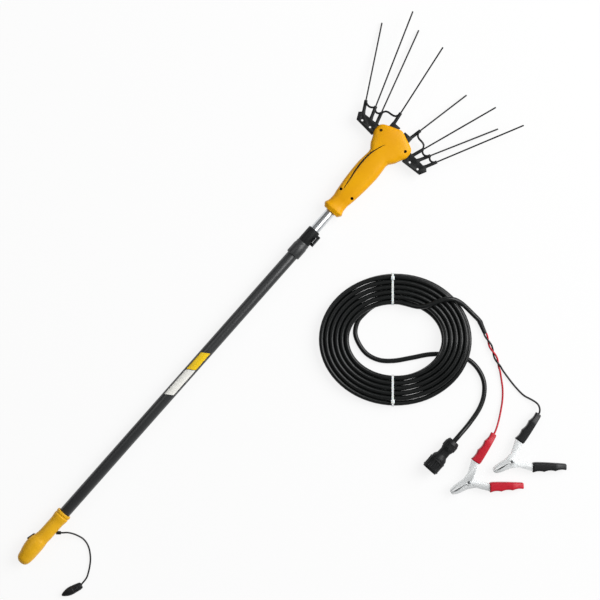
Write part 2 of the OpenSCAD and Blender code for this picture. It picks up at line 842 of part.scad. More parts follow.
module comb(reach) {
    lever_z = -rod_plane + rod_t + 0.5;
    difference() {
        union() {
            translate([-pivot_half, pivot_y, -hub_half]) cylinder(r = hub_r, h = 2 * hub_half);
            translate([0, 0, -wing_t / 2]) linear_extrude(wing_t) difference() {
                wing_plan();
                wing_holes();
            }
            translate([0, 0, -block_half]) linear_extrude(2 * block_half) block_plan();
            translate([-pivot_half, 0, lever_z]) linear_extrude(4.5) lever_plan();
            translate([-pivot_half, crank_y, -rod_plane]) cylinder(r = lever_pin_r, h = rod_plane);
            for (i = [0 : 3]) stem(i, reach);
            strap(reach);
        }
        translate([-pivot_half, pivot_y, -pole_z]) cylinder(d = pivot_d + 2 * run_gap, h = 2 * pole_z);
        for (i = [0 : 3])
            translate(stem_top(i, reach)) toward(tine_dir(i, reach))
                translate([0, 0, 3 - socket_depth])
                    cylinder(d = tine_d + 2 * run_gap, h = socket_depth + strap_wave + strap_half);
    }
}

module lever_plan() {
    translate([0, crank_y]) circle(r = eye_small_r);
    translate([-eye_small_r, crank_y]) square([2 * eye_small_r, lever_arm]);
}

module turned_over() {
    rotate([0, 180, 0]) children();
}

module left_comb() {
    color(black) on_pole() comb(left_reach);
}

module right_comb() {
    color(black) on_pole() turned_over() comb(right_reach);
}

module tine(i, reach) {
    start = stem_top(i, reach) + (3 - socket_depth) * tine_dir(i, reach);
    length = norm(tine_tip(i, reach) - start);
    color(black) translate(start) toward(tine_dir(i, reach)) {
        cylinder(d = tine_d, h = length - tine_d / 2);
        translate([0, 0, length - tine_d / 2]) sphere(d = tine_d);
    }
}

module left_tine(number) {
    on_pole() tine(number - 1, left_reach);
}

module right_tine(number) {
    on_pole() turned_over() tine(number - 1, right_reach);
}

// Supply cable, laid out on the floor round its own centre

coil_pos = [344, 207];
coil_turn = 41.5;
coil_turns = 5.5;
coil_length_turns = 11.1;
coil_first_angle = 115;
rings_per_turn = 24;
coil_sides = 6;
tie_gap = 0.4;
coil_lift = tie_t + tie_gap;
// The coil rides over the connector's tail here
crossing_angle = -18.5;
crossing_flat = 10;
crossing_fade = 34;

module on_floor() {
    translate(coil_pos) rotate(coil_turn) children();
}

function clamped(x) = min(1, max(0, x));
function coil_radius(t) = coil_r + coil_pitch * (t <= coil_turns ? t : 2 * coil_turns - t);
function wrapped(angle) = angle - 360 * round(angle / 360);
function coil_height(t, angle) = coil_lift + cable_d / 2
    + coil_pitch * clamped(2 * (t - coil_turns) + 0.5)
    + cable_d * bump(wrapped(angle - crossing_angle), crossing_flat, crossing_fade);
function coil_point(t) = let (angle = coil_first_angle - 360 * t, r = coil_radius(t)) [
    (r + coil_oval) * cos(angle),
    (r - coil_oval) * sin(angle),
    coil_height(t, angle)
];

coil_rings = floor(coil_length_turns * rings_per_turn);
coil_turned = [for (i = [0 : coil_rings]) coil_point(i / rings_per_turn)];
coil_in = unit(coil_turned[1] - coil_turned[0]);
coil_out = unit(coil_turned[coil_rings] - coil_turned[coil_rings - 1]);
coil_start = coil_turned[0];
coil_end = coil_turned[coil_rings];

// Least gap of the coil to itself, over points more than half a turn apart
coil_gap = min([
    for (i = [0 : coil_rings - rings_per_turn / 2])
        min([for (j = [i + rings_per_turn / 2 : coil_rings]) norm(coil_turned[i] - coil_turned[j])])
]) - cable_d;
echo(coil_gap = coil_gap);

module cable_coil() {
    color(black) on_floor() swept_tube(coil_turned, cable_d / 2, coil_sides);
}

tie_corner = cable_d / 2 + tie_gap;
tie_high = cable_d + coil_pitch + 2 * tie_gap;
tie_u = -6;
// How far the coil's straight facets come in between its points
coil_sag = coil_r * (1 - cos(180 / rings_per_turn));

// Places of the coil's turns across one side, out from its centre
function turns_at(angle) = [
    for (t = [(coil_first_angle - angle) / 360 : 1 : coil_length_turns]) coil_radius(t) - coil_oval
];

module rounded_plate(w, h, r) {
    translate([r, 0]) square([w - 2 * r, h]);
    translate([0, r]) square([w, h - 2 * r]);
    for (x = [r, w - r]) for (y = [r, h - r]) translate([x, y]) circle(r = r);
}

module cable_tie(angle) {
    near = min(turns_at(angle)) - coil_sag - tie_corner;
    across = max(turns_at(angle)) + tie_corner - near;
    rotate(angle - 90) translate([-tie_w / 2, near, 0]) rotate([90, 0, 90])
        linear_extrude(tie_w) difference() {
            translate([-tie_t, 0])
                rounded_plate(across + 2 * tie_t, tie_high + 2 * tie_t, tie_corner + tie_t);
            translate([0, tie_t]) rounded_plate(across, tie_high, tie_corner);
        }
}

module cable_ties() {
    color("white") on_floor() {
        for (angle = [-90, 90]) translate([tie_u, 0, 0]) cable_tie(angle);
    }
}

// Straight run where one cord piece meets the next
joint_run = 4;
coil_run = 1.5;
joint_gap = 0.05;
connector_pos = [154.5, -266, ring_d / 2];
connector_dir = [-sin(coil_turn), -cos(coil_turn), 0];
nut_entry = 10;
cable_z = cable_d / 2;

// From the coil's inner end round the loose loop, under the coil and out to the connector
connector_route = [
    [-66, 78, cable_z + 1], [-80, 65, cable_z], [-96, 46, cable_z], [-103, 14, cable_z],
    [-90, -19, cable_z],
    [-70, -42, cable_z], [-40, -56, cable_z], [-4, -58, cable_z], [44, -50, cable_z], [93, -41, cable_z],
    [142, -42, cable_z], [187, -52, cable_z], [215, -76, cable_z], [232, -110, cable_z],
    [233, -146, cable_z], [222, -180, cable_z + 1]
];
connector_points = concat(
    [coil_start - joint_gap * coil_in, coil_start - coil_run * coil_in], connector_route,
    [connector_pos - 60 * connector_dir - [0, 0, 11], connector_pos - 24 * connector_dir - [0, 0, 2],
     connector_pos - 10 * connector_dir, connector_pos + nut_entry * connector_dir]
);

module connector_tail() {
    color(black) on_floor() swept_tube(connector_points, cable_d / 2, 10);
}

// From the coil's top inner end over the coil and out to the battery leads
battery_route = [
    [26, 92, 22.2], [42, 87, 26.4], [57, 82, 31.2], [73, 81, 34.6], [90, 88, 35.4], [110, 98, 35.4],
    [134, 107, 35], [155, 106, 34], [175, 94, 22], [196, 71, 10], [210, 58, cable_z + 0.5]
];
boot_start = [222, 45, cable_z];
boot_end = [236, 13, cable_z];
boot_dir = unit(boot_end - boot_start);
twist_len = 98;
twist_end = boot_end + twist_len * boot_dir;
battery_points = concat(
    [coil_end + joint_gap * coil_out, coil_end + coil_run * coil_out], battery_route,
    [boot_start - joint_run * boot_dir, boot_start]
);

module battery_tail() {
    color(black) on_floor() swept_tube(battery_points, cable_d / 2, 10);
}

module split_sleeve() {
    length = norm(boot_end - boot_start);
    color(black) on_floor() translate(boot_start) toward(boot_dir)
        rotate_extrude()
            polygon([
                [0, 0], [cable_d / 2, 0], [cable_d / 2, 2], [lead_d + 0.8, 8],
                [lead_d + 0.5, length - 1], [lead_d, length], [0, length]
            ]);
}

// The two leads twist round each other, then part
twist_turns = 1.5;
twist_points = 10;
twist_r = lead_d / 2 + 0.6;

function twist_point(k, phase) = let (
    f = k / (twist_points - 1),
    angle = phase + 360 * twist_turns * f,
    across = side_of(boot_dir)
) boot_end + joint_run * boot_dir + f * (twist_end - boot_end)
    + twist_r * (cos(angle) * across + [0, 0, sin(angle)]);

function twisted(phase) = concat(
    [twist_point(0, phase) - joint_run * boot_dir],
    [for (k = [0 : twist_points - 1]) twist_point(k, phase)]
);

red_route = [[278, -103, 4], [282, -132, 3], [281, -163, 4], [276, -193, 6], [269, -222, 10]];
black_route = [[296, -102, 4], [316, -127, 3], [338, -149, 4], [358, -164, 7], [372, -177, 11]];

function clamp_spot(clamp, p) = [
    clamp[0] + p[0] * cos(clamp[2]) - p[1] * sin(clamp[2]),
    clamp[1] + p[0] * sin(clamp[2]) + p[1] * cos(clamp[2]),
    clamp_z
];

function lead_points(clamp, phase, route) = concat(
    twisted(phase), route,
    [for (along = [handle_len + lead_d, handle_len]) clamp_spot(clamp, handle_point(along, 0))]
);

module red_lead() {
    color(red) on_floor() swept_tube(lead_points(red_clamp, 180, red_route), lead_d / 2, 8);
}

module black_lead() {
    color(black) on_floor() swept_tube(lead_points(black_clamp, 0, black_route), lead_d / 2, 8);
}

// Connector

module at_connector() {
    on_floor() translate(connector_pos) toward(connector_dir) children();
}

ring_start = nut_len + body_len - ring_len - 4;
ring_bore_r = ring_d / 2 - 3.5;
socket_r = plug_d / 2 + 0.5;
socket_depth_front = 0.75 * plug_len;

module connector_nut() {
    color(black) at_connector() difference() {
        rotate_extrude()
            polygon([
                [0, 0], [0.32 * ring_d, 0], [0.36 * ring_d, 3], [0.4 * ring_d, 9], [0.42 * ring_d, 11],
                [0.42 * ring_d, nut_len - 1], [0.4 * ring_d, nut_len], [0, nut_len]
            ]);
        translate([0, 0, -1]) cylinder(d = cable_d + 2 * run_gap, h = nut_entry + 1);
    }
}

module connector_body() {
    front = nut_len + body_len;
    color(black) at_connector() difference() {
        rotate_extrude()
            polygon([
                [0, nut_len], [0.37 * ring_d, nut_len], [0.37 * ring_d, nut_len + 3],
                [0.32 * ring_d, nut_len + 9], [0.33 * ring_d, ring_start - 16],
                [0.44 * ring_d, ring_start - 8],
                [0.46 * ring_d, ring_start - free_gap], [ring_bore_r - run_gap, ring_start - free_gap],
                [ring_bore_r - run_gap, front - 4 + free_gap], [ring_bore_r + 1.5, front - 4 + free_gap],
                [ring_bore_r + 1.5, front - 1], [ring_bore_r + 0.5, front], [0, front]
            ]);
        translate([0, 0, front - socket_depth_front]) cylinder(r = socket_r, h = socket_depth_front + 1);
    }
}

grip_cuts = 18;

rim_len = 5;

module ring_plan(r) {
    difference() {
        circle(r = r);
        circle(r = ring_bore_r);
    }
}

module coupling_ring() {
    r = ring_d / 2;
    color(black) at_connector() translate([0, 0, ring_start]) {
        linear_extrude(rim_len) ring_plan(r);
        translate([0, 0, rim_len]) linear_extrude(ring_len - 2 * rim_len) difference() {
            ring_plan(r - 0.8);
            for (k = [0 : grip_cuts - 1])
                rotate((k + 0.5) * 360 / grip_cuts) translate([r + 0.6, 0]) circle(r = 2.4);
        }
        translate([0, 0, ring_len - rim_len]) linear_extrude(rim_len) ring_plan(r);
    }
}

// Battery clamps: pivot across and along the floor, then the way that the handles face

red_clamp = [193, -374, 29.5];
black_clamp = [305, -320, 27.5];
clamp_z = clamp_w / 2 + handle_wall;
handle_start = [41, 38];
handle_angle = 27;
handle_dir = [cos(handle_angle), sin(handle_angle)];
handle_out = [-sin(handle_angle), cos(handle_angle)];
ear_r = 8;
tooth = 2.5;
jaw_gap = 0.4;
moving_w = clamp_w - 2 * (sheet_t + free_gap);
arm_room = 20;
arm_end = handle_len - arm_room;

// A point along a handle and out to its side
function handle_point(along, out) = handle_start + along * handle_dir + out * handle_out;

jaw_outer = [
    [-nose_len, 4], [-nose_len + 3, 7], [-nose_len + 14, 10.5], [-10, 13.5], [8, 20],
    handle_point(-4, 9), handle_point(0, 10), handle_point(arm_end, 6)
];

function jaw_teeth() = [
    for (x = [-14 : -tooth : -nose_len + tooth])
        each [[x, jaw_gap], [x - tooth / 2, jaw_gap + 1.6]]
];

module flange_plan() {
    difference() {
        union() {
            polygon(concat(
                jaw_outer,
                [handle_point(arm_end, -5), handle_point(0, -8), [14, 2], [4, -4], [-9, jaw_gap]],
                jaw_teeth(), [[-nose_len, jaw_gap]]
            ));
            circle(r = ear_r);
        }
        circle(d = clamp_pin_d);
    }
}

module web_plan() {
    polygon(concat(jaw_outer, reversed(shifted(jaw_outer, sheet_t))));
}

// Pressed channel: two flanges joined by a web along the outer edge
module clamp_arm(w) {
    for (z = [-w / 2, w / 2 - sheet_t]) translate([0, 0, z]) linear_extrude(sheet_t) flange_plan();
    translate([0, 0, -w / 2]) linear_extrude(w) web_plan();
}

scallops = 4;
function handle_edge(x) = 14 - 5 * x / handle_len - 1.2 * (1 - cos(360 * scallops * x / handle_len));

module handle_plan() {
    steps = 32;
    polygon(concat(
        [for (k = [0 : steps]) let (x = handle_len * k / steps) [x, handle_edge(x)]],
        [[handle_len, -8], [0.9 * handle_len, -9], [0.08 * handle_len, -13], [0, -12]]
    ));
}

module handle_sleeve(w) {
    high = clamp_w / 2 + handle_wall;
    difference() {
        translate(handle_start) rotate(handle_angle) intersection() {
            translate([0, 0, -high]) linear_extrude(2 * high) handle_plan();
            rotate([90, 0, 0]) translate([0, 0, -30]) linear_extrude(60)
                polygon([
                    [0, 3 - high], [3, -high], [handle_len - 30, -high], [handle_len, 6 - high],
                    [handle_len, high - 6], [handle_len - 30, high], [3, high], [0, high - 3]
                ]);
        }
        translate([0, 0, -w / 2]) linear_extrude(w) flange_plan();
    }
}

module at_clamp(clamp) {
    on_floor() translate([clamp[0], clamp[1], clamp_z]) rotate(clamp[2]) children();
}

module moving_side() {
    mirror([0, 1, 0]) children();
}

module clamp_pin() {
    head_t = 1.2;
    translate([0, 0, -clamp_w / 2 - head_t]) cylinder(d = clamp_pin_d + 3, h = head_t);
    translate([0, 0, -clamp_w / 2]) cylinder(d = clamp_pin_d - 2 * run_gap, h = clamp_w);
    translate([0, 0, clamp_w / 2]) cylinder(d = clamp_pin_d + 3, h = head_t);
}

spring_r = clamp_pin_d / 2 + wire_d / 2 + free_gap;
curl_rings = 8;
spring_first = 130;
spring_extra = 140;
spring_turn = 360 * (spring_curls - 1) + spring_extra;
spring_rings = ceil(spring_turn / 360 * curl_rings);
spring_pitch = wire_d + 0.6;
spring_leg = 16;

function spring_point(i) = let (angle = spring_turn * i / spring_rings) [
    spring_r * cos(spring_first + angle),
    spring_r * sin(spring_first + angle),
    spring_pitch * (angle - spring_turn / 2) / 360
];
spring_wound = [for (i = [0 : spring_rings]) spring_point(i)];
spring_points = concat(
    [spring_wound[0] + spring_leg * [cos(40), sin(40), 0]],
    spring_wound,
    [spring_wound[spring_rings] + spring_leg * [1, 0, 0]]
);
spring_gap = min([
    for (i = [0 : spring_rings - curl_rings / 2])
        min([for (j = [i + curl_rings / 2 : spring_rings]) norm(spring_wound[i] - spring_wound[j])])
]) - wire_d;
echo(spring_gap = spring_gap);

module clamp_spring() {
    swept_tube(spring_points, wire_d / 2, 6);
}

module red_fixed_jaw() {
    color(steel) at_clamp(red_clamp) clamp_arm(clamp_w);
}

module red_fixed_sleeve() {
    color(red) at_clamp(red_clamp) handle_sleeve(clamp_w);
}

module red_moving_jaw() {
    color(steel) at_clamp(red_clamp) moving_side() clamp_arm(moving_w);
}

module red_moving_sleeve() {
    color(red) at_clamp(red_clamp) moving_side() handle_sleeve(moving_w);
}

module red_clamp_pin() {
    color(steel) at_clamp(red_clamp) clamp_pin();
}

module red_clamp_spring() {
    color(steel) at_clamp(red_clamp) clamp_spring();
}

module black_fixed_jaw() {
    color(steel) at_clamp(black_clamp) clamp_arm(clamp_w);
}

module black_fixed_sleeve() {
    color(black) at_clamp(black_clamp) handle_sleeve(clamp_w);
}

module black_moving_jaw() {
    color(steel) at_clamp(black_clamp) moving_side() clamp_arm(moving_w);
}

module black_moving_sleeve() {
    color(black) at_clamp(black_clamp) moving_side() handle_sleeve(moving_w);
}

module black_clamp_pin() {
    color(steel) at_clamp(black_clamp) clamp_pin();
}

module black_clamp_spring() {
    color(steel) at_clamp(black_clamp) clamp_spring();
}

outer_tube();
grip_top();
grip_bottom();
grip_screws();
switch_body();
power_switch();
pigtail_grommet();
pigtail_cord();
pigtail_plug();
lock_sleeve();
lock_collar();
lock_lever();
lever_pin();
inner_tube();
guide_bush();
head_top();
head_bottom();
head_screws();
motor();
gearbox();
crank();
left_rod();
right_rod();
left_pivot();
right_pivot();
left_comb();
right_comb();
left_tine(1);  // left_tine_1
left_tine(2);  // left_tine_2
left_tine(3);  // left_tine_3
left_tine(4);  // left_tine_4
right_tine(1);  // right_tine_1
right_tine(2);  // right_tine_2
right_tine(3);  // right_tine_3
right_tine(4);  // right_tine_4
cable_coil();
cable_ties();
connector_tail();
battery_tail();
split_sleeve();
red_lead();
black_lead();
connector_nut();
connector_body();
coupling_ring();
red_fixed_jaw();
red_fixed_sleeve();
red_moving_jaw();
red_moving_sleeve();
red_clamp_pin();
red_clamp_spring();
black_fixed_jaw();
black_fixed_sleeve();
black_moving_jaw();
black_moving_sleeve();
black_clamp_pin();
black_clamp_spring();
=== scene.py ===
"""Electric olive harvester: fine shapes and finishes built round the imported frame."""

from __future__ import annotations

import json
import logging
import math
from collections.abc import Callable, Sequence
from dataclasses import dataclass, field
from enum import Enum
from itertools import accumulate

import bmesh
import bpy
from mathutils import Matrix, Vector

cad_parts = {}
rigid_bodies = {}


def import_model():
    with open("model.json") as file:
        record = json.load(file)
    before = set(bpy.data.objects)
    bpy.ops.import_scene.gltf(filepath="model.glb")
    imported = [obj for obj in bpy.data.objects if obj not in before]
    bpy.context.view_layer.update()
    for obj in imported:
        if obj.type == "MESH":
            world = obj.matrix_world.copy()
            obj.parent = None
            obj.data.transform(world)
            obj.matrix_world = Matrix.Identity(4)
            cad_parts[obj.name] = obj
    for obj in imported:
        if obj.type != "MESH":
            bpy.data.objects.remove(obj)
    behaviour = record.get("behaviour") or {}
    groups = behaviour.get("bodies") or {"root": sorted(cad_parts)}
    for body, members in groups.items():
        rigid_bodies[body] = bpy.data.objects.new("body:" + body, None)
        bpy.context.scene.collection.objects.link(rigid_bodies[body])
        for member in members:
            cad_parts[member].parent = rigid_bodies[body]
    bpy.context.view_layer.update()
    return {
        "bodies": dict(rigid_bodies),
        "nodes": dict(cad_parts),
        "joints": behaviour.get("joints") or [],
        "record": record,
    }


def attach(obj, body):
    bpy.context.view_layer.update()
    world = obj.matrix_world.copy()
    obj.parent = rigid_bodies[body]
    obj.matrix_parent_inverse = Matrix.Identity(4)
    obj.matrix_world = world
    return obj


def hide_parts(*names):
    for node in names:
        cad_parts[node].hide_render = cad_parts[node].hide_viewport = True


log = logging.getLogger("harvester")

Place = tuple[float, float, float]
Route = tuple[Place, ...]
Rows = tuple[tuple[float, ...], ...]
Outline = Sequence[tuple[float, float]]
Faces = list[tuple[int, ...]]

# Metres in a millimetre; all other lengths are millimetres unless they say otherwise
MM = 0.001
# Half the harvester's length, height of the pole's axis, and where and how the coil lies
HALF_LENGTH = 873.0
POLE_HEIGHT = 24.0
COIL_PLACE = (344.0, 207.0)
COIL_TURN = math.radians(41.5)
UP = Vector((0.0, 0.0, 1.0))
# Where the short lead leaves the grip, and in which direction
LEAD_EXIT = (18.28, 118.68)
LEAD_WAY = Vector((math.cos(COIL_TURN), math.sin(COIL_TURN), 0.0))
# Distance between the rings of a housing
RING_STEP = 1.2
# Metres within which points merge, and below which an edge is empty
MERGE = 2e-6
EMPTY = 1e-7
# Degrees past which an edge stays sharp, and radians up to which one counts as flat
SHARP = 35.0
FLAT = math.radians(0.5)
WHITE = (1.0, 1.0, 1.0, 1.0)


class Body(str, Enum):
    """Bodies of the frame that new pieces ride on."""

    POLE = "pole"
    UPPER = "upper"
    LEVER = "lever"
    SWITCH = "switch_button"
    LEFT_COMB = "left_comb_body"
    RIGHT_COMB = "right_comb_body"
    RING = "ring"
    RED_JAW = "red_jaw"
    BLACK_JAW = "black_jaw"


class Half(Enum):
    """Upper or lower half of a split housing."""

    TOP = 1
    BOTTOM = -1


# Places and paths


def pole_point(x: float, station: float, z: float = 0.0) -> Vector:
    """Place on the pole in metres.

    Args:
        x: Millimetres to the right of the pole's axis.
        station: Millimetres along the pole from the rear of the grip.
        z: Millimetres above the pole's axis.

    Returns:
        The place in the row frame.
    """
    return Vector((x, station - HALF_LENGTH, POLE_HEIGHT + z)) * MM


def floor_point(u: float, v: float, z: float) -> Vector:
    """Place by the coil in metres.

    Args:
        u: Millimetres across, in the coil's own frame.
        v: Millimetres along, in the coil's own frame.
        z: Millimetres above the floor.

    Returns:
        The place in the row frame.
    """
    x = COIL_PLACE[0] + u * math.cos(COIL_TURN) - v * math.sin(COIL_TURN)
    y = COIL_PLACE[1] + u * math.sin(COIL_TURN) + v * math.cos(COIL_TURN)
    return Vector((x, y, z)) * MM


def smooth_path(points: Sequence[Vector], per_span: int, least: float = 1e-9) -> list[Vector]:
    """Rounded path through given points.

    Args:
        points: Points that the path passes through.
        per_span: New points for each span.
        least: Length that a span counts as at least.

    Returns:
        The finer path, ends included.
    """
    ends = [2 * points[0] - points[1], *points, 2 * points[-1] - points[-2]]
    path: list[Vector] = []
    for a, b, c, d in zip(ends, ends[1:], ends[2:], ends[3:]):
        t1, t2, t3 = accumulate(math.sqrt(max((q - p).length, least)) for p, q in ((a, b), (b, c), (c, d)))
        for k in range(per_span):
            t = t1 + (t2 - t1) * k / per_span
            along = (t - t1) / (t2 - t1)
            ab = a.lerp(b, t / t1)
            bc = b.lerp(c, along)
            cd = c.lerp(d, (t - t2) / (t3 - t2))
            path.append(ab.lerp(bc, t / t2).lerp(bc.lerp(cd, (t - t1) / (t3 - t1)), along))
    return [*path, points[-1]]


def eased(points: Sequence[Vector], rounds: int) -> list[Vector]:
    """A path with its bends opened, each point drawn to the middle of its neighbours.

    Args:
        points: Points of the path, about evenly spaced.
        rounds: How often the points are drawn.

    Returns:
        The eased path, with the same ends.
    """
    path = list(points)
    for _ in range(rounds):
        drawn = (0.25 * a + 0.5 * b + 0.25 * c for a, b, c in zip(path, path[1:], path[2:]))
        path = [path[0], *drawn, path[-1]]
    return path


def spread(first: float, last: float, step: float, extra: Sequence[float] = ()) -> list[float]:
    """Evenly spread stations, with some extra ones.

    Args:
        first: First station.
        last: Last station.
        step: Largest distance between stations.
        extra: Stations that have to be there too.

    Returns:
        Sorted stations.
    """
    count = math.ceil((last - first) / step)
    even = [first + (last - first) * k / count for k in range(count + 1)]
    return sorted({round(s, 4) for s in [*even, *extra]})


@dataclass(frozen=True)
class Profile:
    """A measure that runs smoothly through knots without overshoot."""

    knots: tuple[float, ...]
    values: tuple[float, ...]

    def slope(self, i: int) -> float:
        """Slope of the curve at one knot.

        Args:
            i: Number of the knot.

        Returns:
            The slope, level at the ends and where the values turn.
        """
        if i in (0, len(self.knots) - 1):
            return 0.0
        before, after = ((self.values[k + 1] - self.values[k]) / (self.knots[k + 1] - self.knots[k])
                         for k in (i - 1, i))
        return 0.0 if before * after <= 0 else 2 * before * after / (before + after)

    def at(self, t: float) -> float:
        """Value at one place.

        Args:
            t: Place along the knots.

        Returns:
            The value, held constant past the ends.
        """
        if t <= self.knots[0]:
            return self.values[0]
        if t >= self.knots[-1]:
            return self.values[-1]
        i = next(k for k in range(len(self.knots) - 1) if t <= self.knots[k + 1])
        span = self.knots[i + 1] - self.knots[i]
        s = (t - self.knots[i]) / span
        return (
            (1 + 2 * s) * (1 - s) ** 2 * self.values[i] + s * (1 - s) ** 2 * span * self.slope(i)
            + s * s * (3 - 2 * s) * self.values[i + 1] + s * s * (s - 1) * span * self.slope(i + 1)
        )


# Finishes


def linear(shade: str) -> tuple[float, float, float, float]:
    """Linear colour of an sRGB hex value.

    Args:
        shade: Six hex digits after a hash.

    Returns:
        Red, green, blue and alpha.
    """
    parts = [int(shade[i:i + 2], 16) / 255 for i in (1, 3, 5)]
    bent = [c / 12.92 if c <= 0.04045 else ((c + 0.055) / 1.055) ** 2.4 for c in parts]
    return bent[0], bent[1], bent[2], 1.0


def add_node(tree: bpy.types.NodeTree, kind: str, inputs: dict | None = None,
             **settings: object) -> bpy.types.Node:
    """Add a node with its settings and links.

    Args:
        tree: Tree that takes the node.
        kind: Blender's name for the node.
        inputs: Value or linked socket for each input, by name or number.
        settings: Properties of the node.

    Returns:
        The new node.
    """
    node = tree.nodes.new(kind)
    for key, value in settings.items():
        setattr(node, key, value)
    for key, value in (inputs or {}).items():
        if isinstance(value, bpy.types.NodeSocket):
            tree.links.new(value, node.inputs[key])
        else:
            node.inputs[key].default_value = value
    return node


@dataclass(frozen=True)
class Finish:
    """A surface with two close shades, uneven gloss and a fine relief.

    The stretch makes the relief longer along one axis, as drawing and brushing do.
    """

    name: str
    slot: str
    shade: str
    second: str
    roughness: float
    gloss_change: float = 0.08
    metallic: float = 0.0
    patch_mm: float = 60.0
    grain_mm: float = 0.8
    depth_mm: float = 0.03
    stretch: tuple[float, float, float] = (1.0, 1.0, 1.0)
    ior: float = 1.5
    specular: float = 0.5
    subsurface: float = 0.0
    patch_detail: tuple[float, float] = (3.0, 0.55)
    grain_detail: tuple[float, float] = (2.0, 0.6)
    patch_span: tuple[float, float] = (0.3, 0.7)
    gloss_span: tuple[float, float] = (0.1, 0.45)
    relief: float = 0.6

    def material(self) -> bpy.types.Material:
        """The finish as a material, made on first use.

        Returns:
            The material.
        """
        found = bpy.data.materials.get(self.name)
        if found:
            return found
        made = bpy.data.materials.new(self.name)
        made.use_nodes = True
        made.diffuse_color = linear(self.shade)
        tree = made.node_tree
        place = add_node(tree, "ShaderNodeTexCoord").outputs["Object"]
        patch = add_node(tree, "ShaderNodeTexNoise", {
            "Vector": place, "Scale": 1 / (self.patch_mm * MM),
            "Detail": self.patch_detail[0], "Roughness": self.patch_detail[1]}).outputs["Fac"]
        drawn = add_node(tree, "ShaderNodeMapping", {"Vector": place, "Scale": self.stretch}).outputs["Vector"]
        grain = add_node(tree, "ShaderNodeTexNoise", {
            "Vector": drawn, "Scale": 1 / (self.grain_mm * MM),
            "Detail": self.grain_detail[0], "Roughness": self.grain_detail[1]}).outputs["Fac"]
        share = add_node(tree, "ShaderNodeMapRange", {
            "Value": patch, "From Min": self.patch_span[0], "From Max": self.patch_span[1]}).outputs["Result"]
        both = add_node(tree, "ShaderNodeMath", {0: patch, 1: grain}, operation="MULTIPLY").outputs[0]
        linked = {
            "Base Color": add_node(tree, "ShaderNodeMix", {
                "Factor": share, 6: linear(self.shade), 7: linear(self.second)}, data_type="RGBA").outputs[2],
            "Roughness": add_node(tree, "ShaderNodeMapRange", {
                "Value": both, "From Min": self.gloss_span[0], "From Max": self.gloss_span[1],
                "To Min": self.roughness - self.gloss_change / 2,
                "To Max": self.roughness + self.gloss_change / 2}).outputs["Result"],
            "Normal": add_node(tree, "ShaderNodeBump", {
                "Height": grain, "Strength": self.relief, "Distance": self.depth_mm * MM}).outputs["Normal"],
        }
        plain = {"Metallic": self.metallic, "IOR": self.ior, "Specular IOR Level": self.specular,
                 "Subsurface Weight": self.subsurface}
        shader = tree.nodes["Principled BSDF"]
        for socket, output in linked.items():
            tree.links.new(output, shader.inputs[socket])
        for socket, value in plain.items():
            shader.inputs[socket].default_value = value
        return made


# Moulded ABS, spark-eroded tool: even satin with a fine pebble, drawn coarser than its 0.3 mm to show
YELLOW_ABS = Finish("yellow_abs", "yellow_plastic", "#EBA900", "#E5A000", 0.4, grain_mm=0.9, depth_mm=0.01,
                    ior=1.53, specular=0.18)
# The same ABS in the golden batch that the grip is moulded from
GOLDEN_ABS = Finish("golden_abs", "yellow_plastic", "#EDB41E", "#E4A916", 0.4, grain_mm=0.9, depth_mm=0.01,
                    ior=1.53, specular=0.22)
# Powder-coated aluminium tube: dark, with a soft broad highlight and orange peel of about 1 mm
TUBE_COAT = Finish("tube_powder_coat", "dark_tube", "#303132", "#2A2B2C", 0.34, grain_mm=1.2,
                   stretch=(1.0, 0.5, 1.0))
# Drawn aluminium tube: bright, with fine die lines along its length
DRAWN_ALUMINIUM = Finish("drawn_aluminium", "bare_aluminium", "#DDDFE1", "#D2D5D8", 0.24, metallic=1.0,
                         grain_mm=0.7, depth_mm=0.006, stretch=(1.0, 0.01, 1.0))
# Glass-filled nylon: near black, dull, with a slightly mottled skin
BLACK_NYLON = Finish("black_nylon", "black_plastic", "#1B1C1D", "#151617", 0.46, 0.14, grain_mm=1.1,
                     depth_mm=0.05, ior=1.53, specular=0.22)
# Charcoal nylon of the lock sleeve, a little paler than the collar
CHARCOAL_NYLON = Finish("charcoal_nylon", "black_plastic", "#303132", "#292A2B", 0.42, 0.12, grain_mm=1.1,
                        depth_mm=0.05, ior=1.53)
# Pultruded glass-fibre rod: dark, with fibres that run along it
FIBRE_ROD = Finish("fibre_rod", "tine", "#18191A", "#121314", 0.4, 0.12, stretch=(1.0, 0.05, 1.0),
                   ior=1.55, specular=0.25)
# Extruded PVC sheath: black with a soft sheen and faint scuffs
CABLE_SHEATH = Finish("cable_sheath", "cable", "#151717", "#101212", 0.3, 0.12, patch_mm=35.0, grain_mm=1.5,
                      depth_mm=0.04, ior=1.52, specular=0.3)
# Moulded rubber of boots and plugs: black and dull
BOOT_RUBBER = Finish("boot_rubber", "cable", "#17181A", "#121314", 0.52, 0.1, grain_mm=1.0, depth_mm=0.05,
                     specular=0.3)
# Dipped vinyl, red: soft sheen over a slightly wavy skin
RED_VINYL = Finish("red_vinyl_dip", "red_vinyl", "#C62434", "#B81C2C", 0.36, 0.1, patch_mm=25.0, grain_mm=2.4,
                   depth_mm=0.08, ior=1.52, specular=0.25)
# Dipped vinyl, black: the same skin, a shade glossier
BLACK_VINYL = Finish("black_vinyl_dip", "black_vinyl", "#1B1C1D", "#151617", 0.38, 0.1, patch_mm=25.0,
                     grain_mm=2.4, depth_mm=0.08, ior=1.52, specular=0.3)
# Bright zinc plate on pressed sheet: pale and half mirror-like, with faint rolling marks
ZINC_PLATE = Finish("zinc_plate", "bright_steel", "#F2F4F4", "#E4E7E8", 0.34, 0.1, 0.5, patch_mm=12.0,
                    grain_mm=0.9, depth_mm=0.004, stretch=(1.0, 0.3, 1.0))
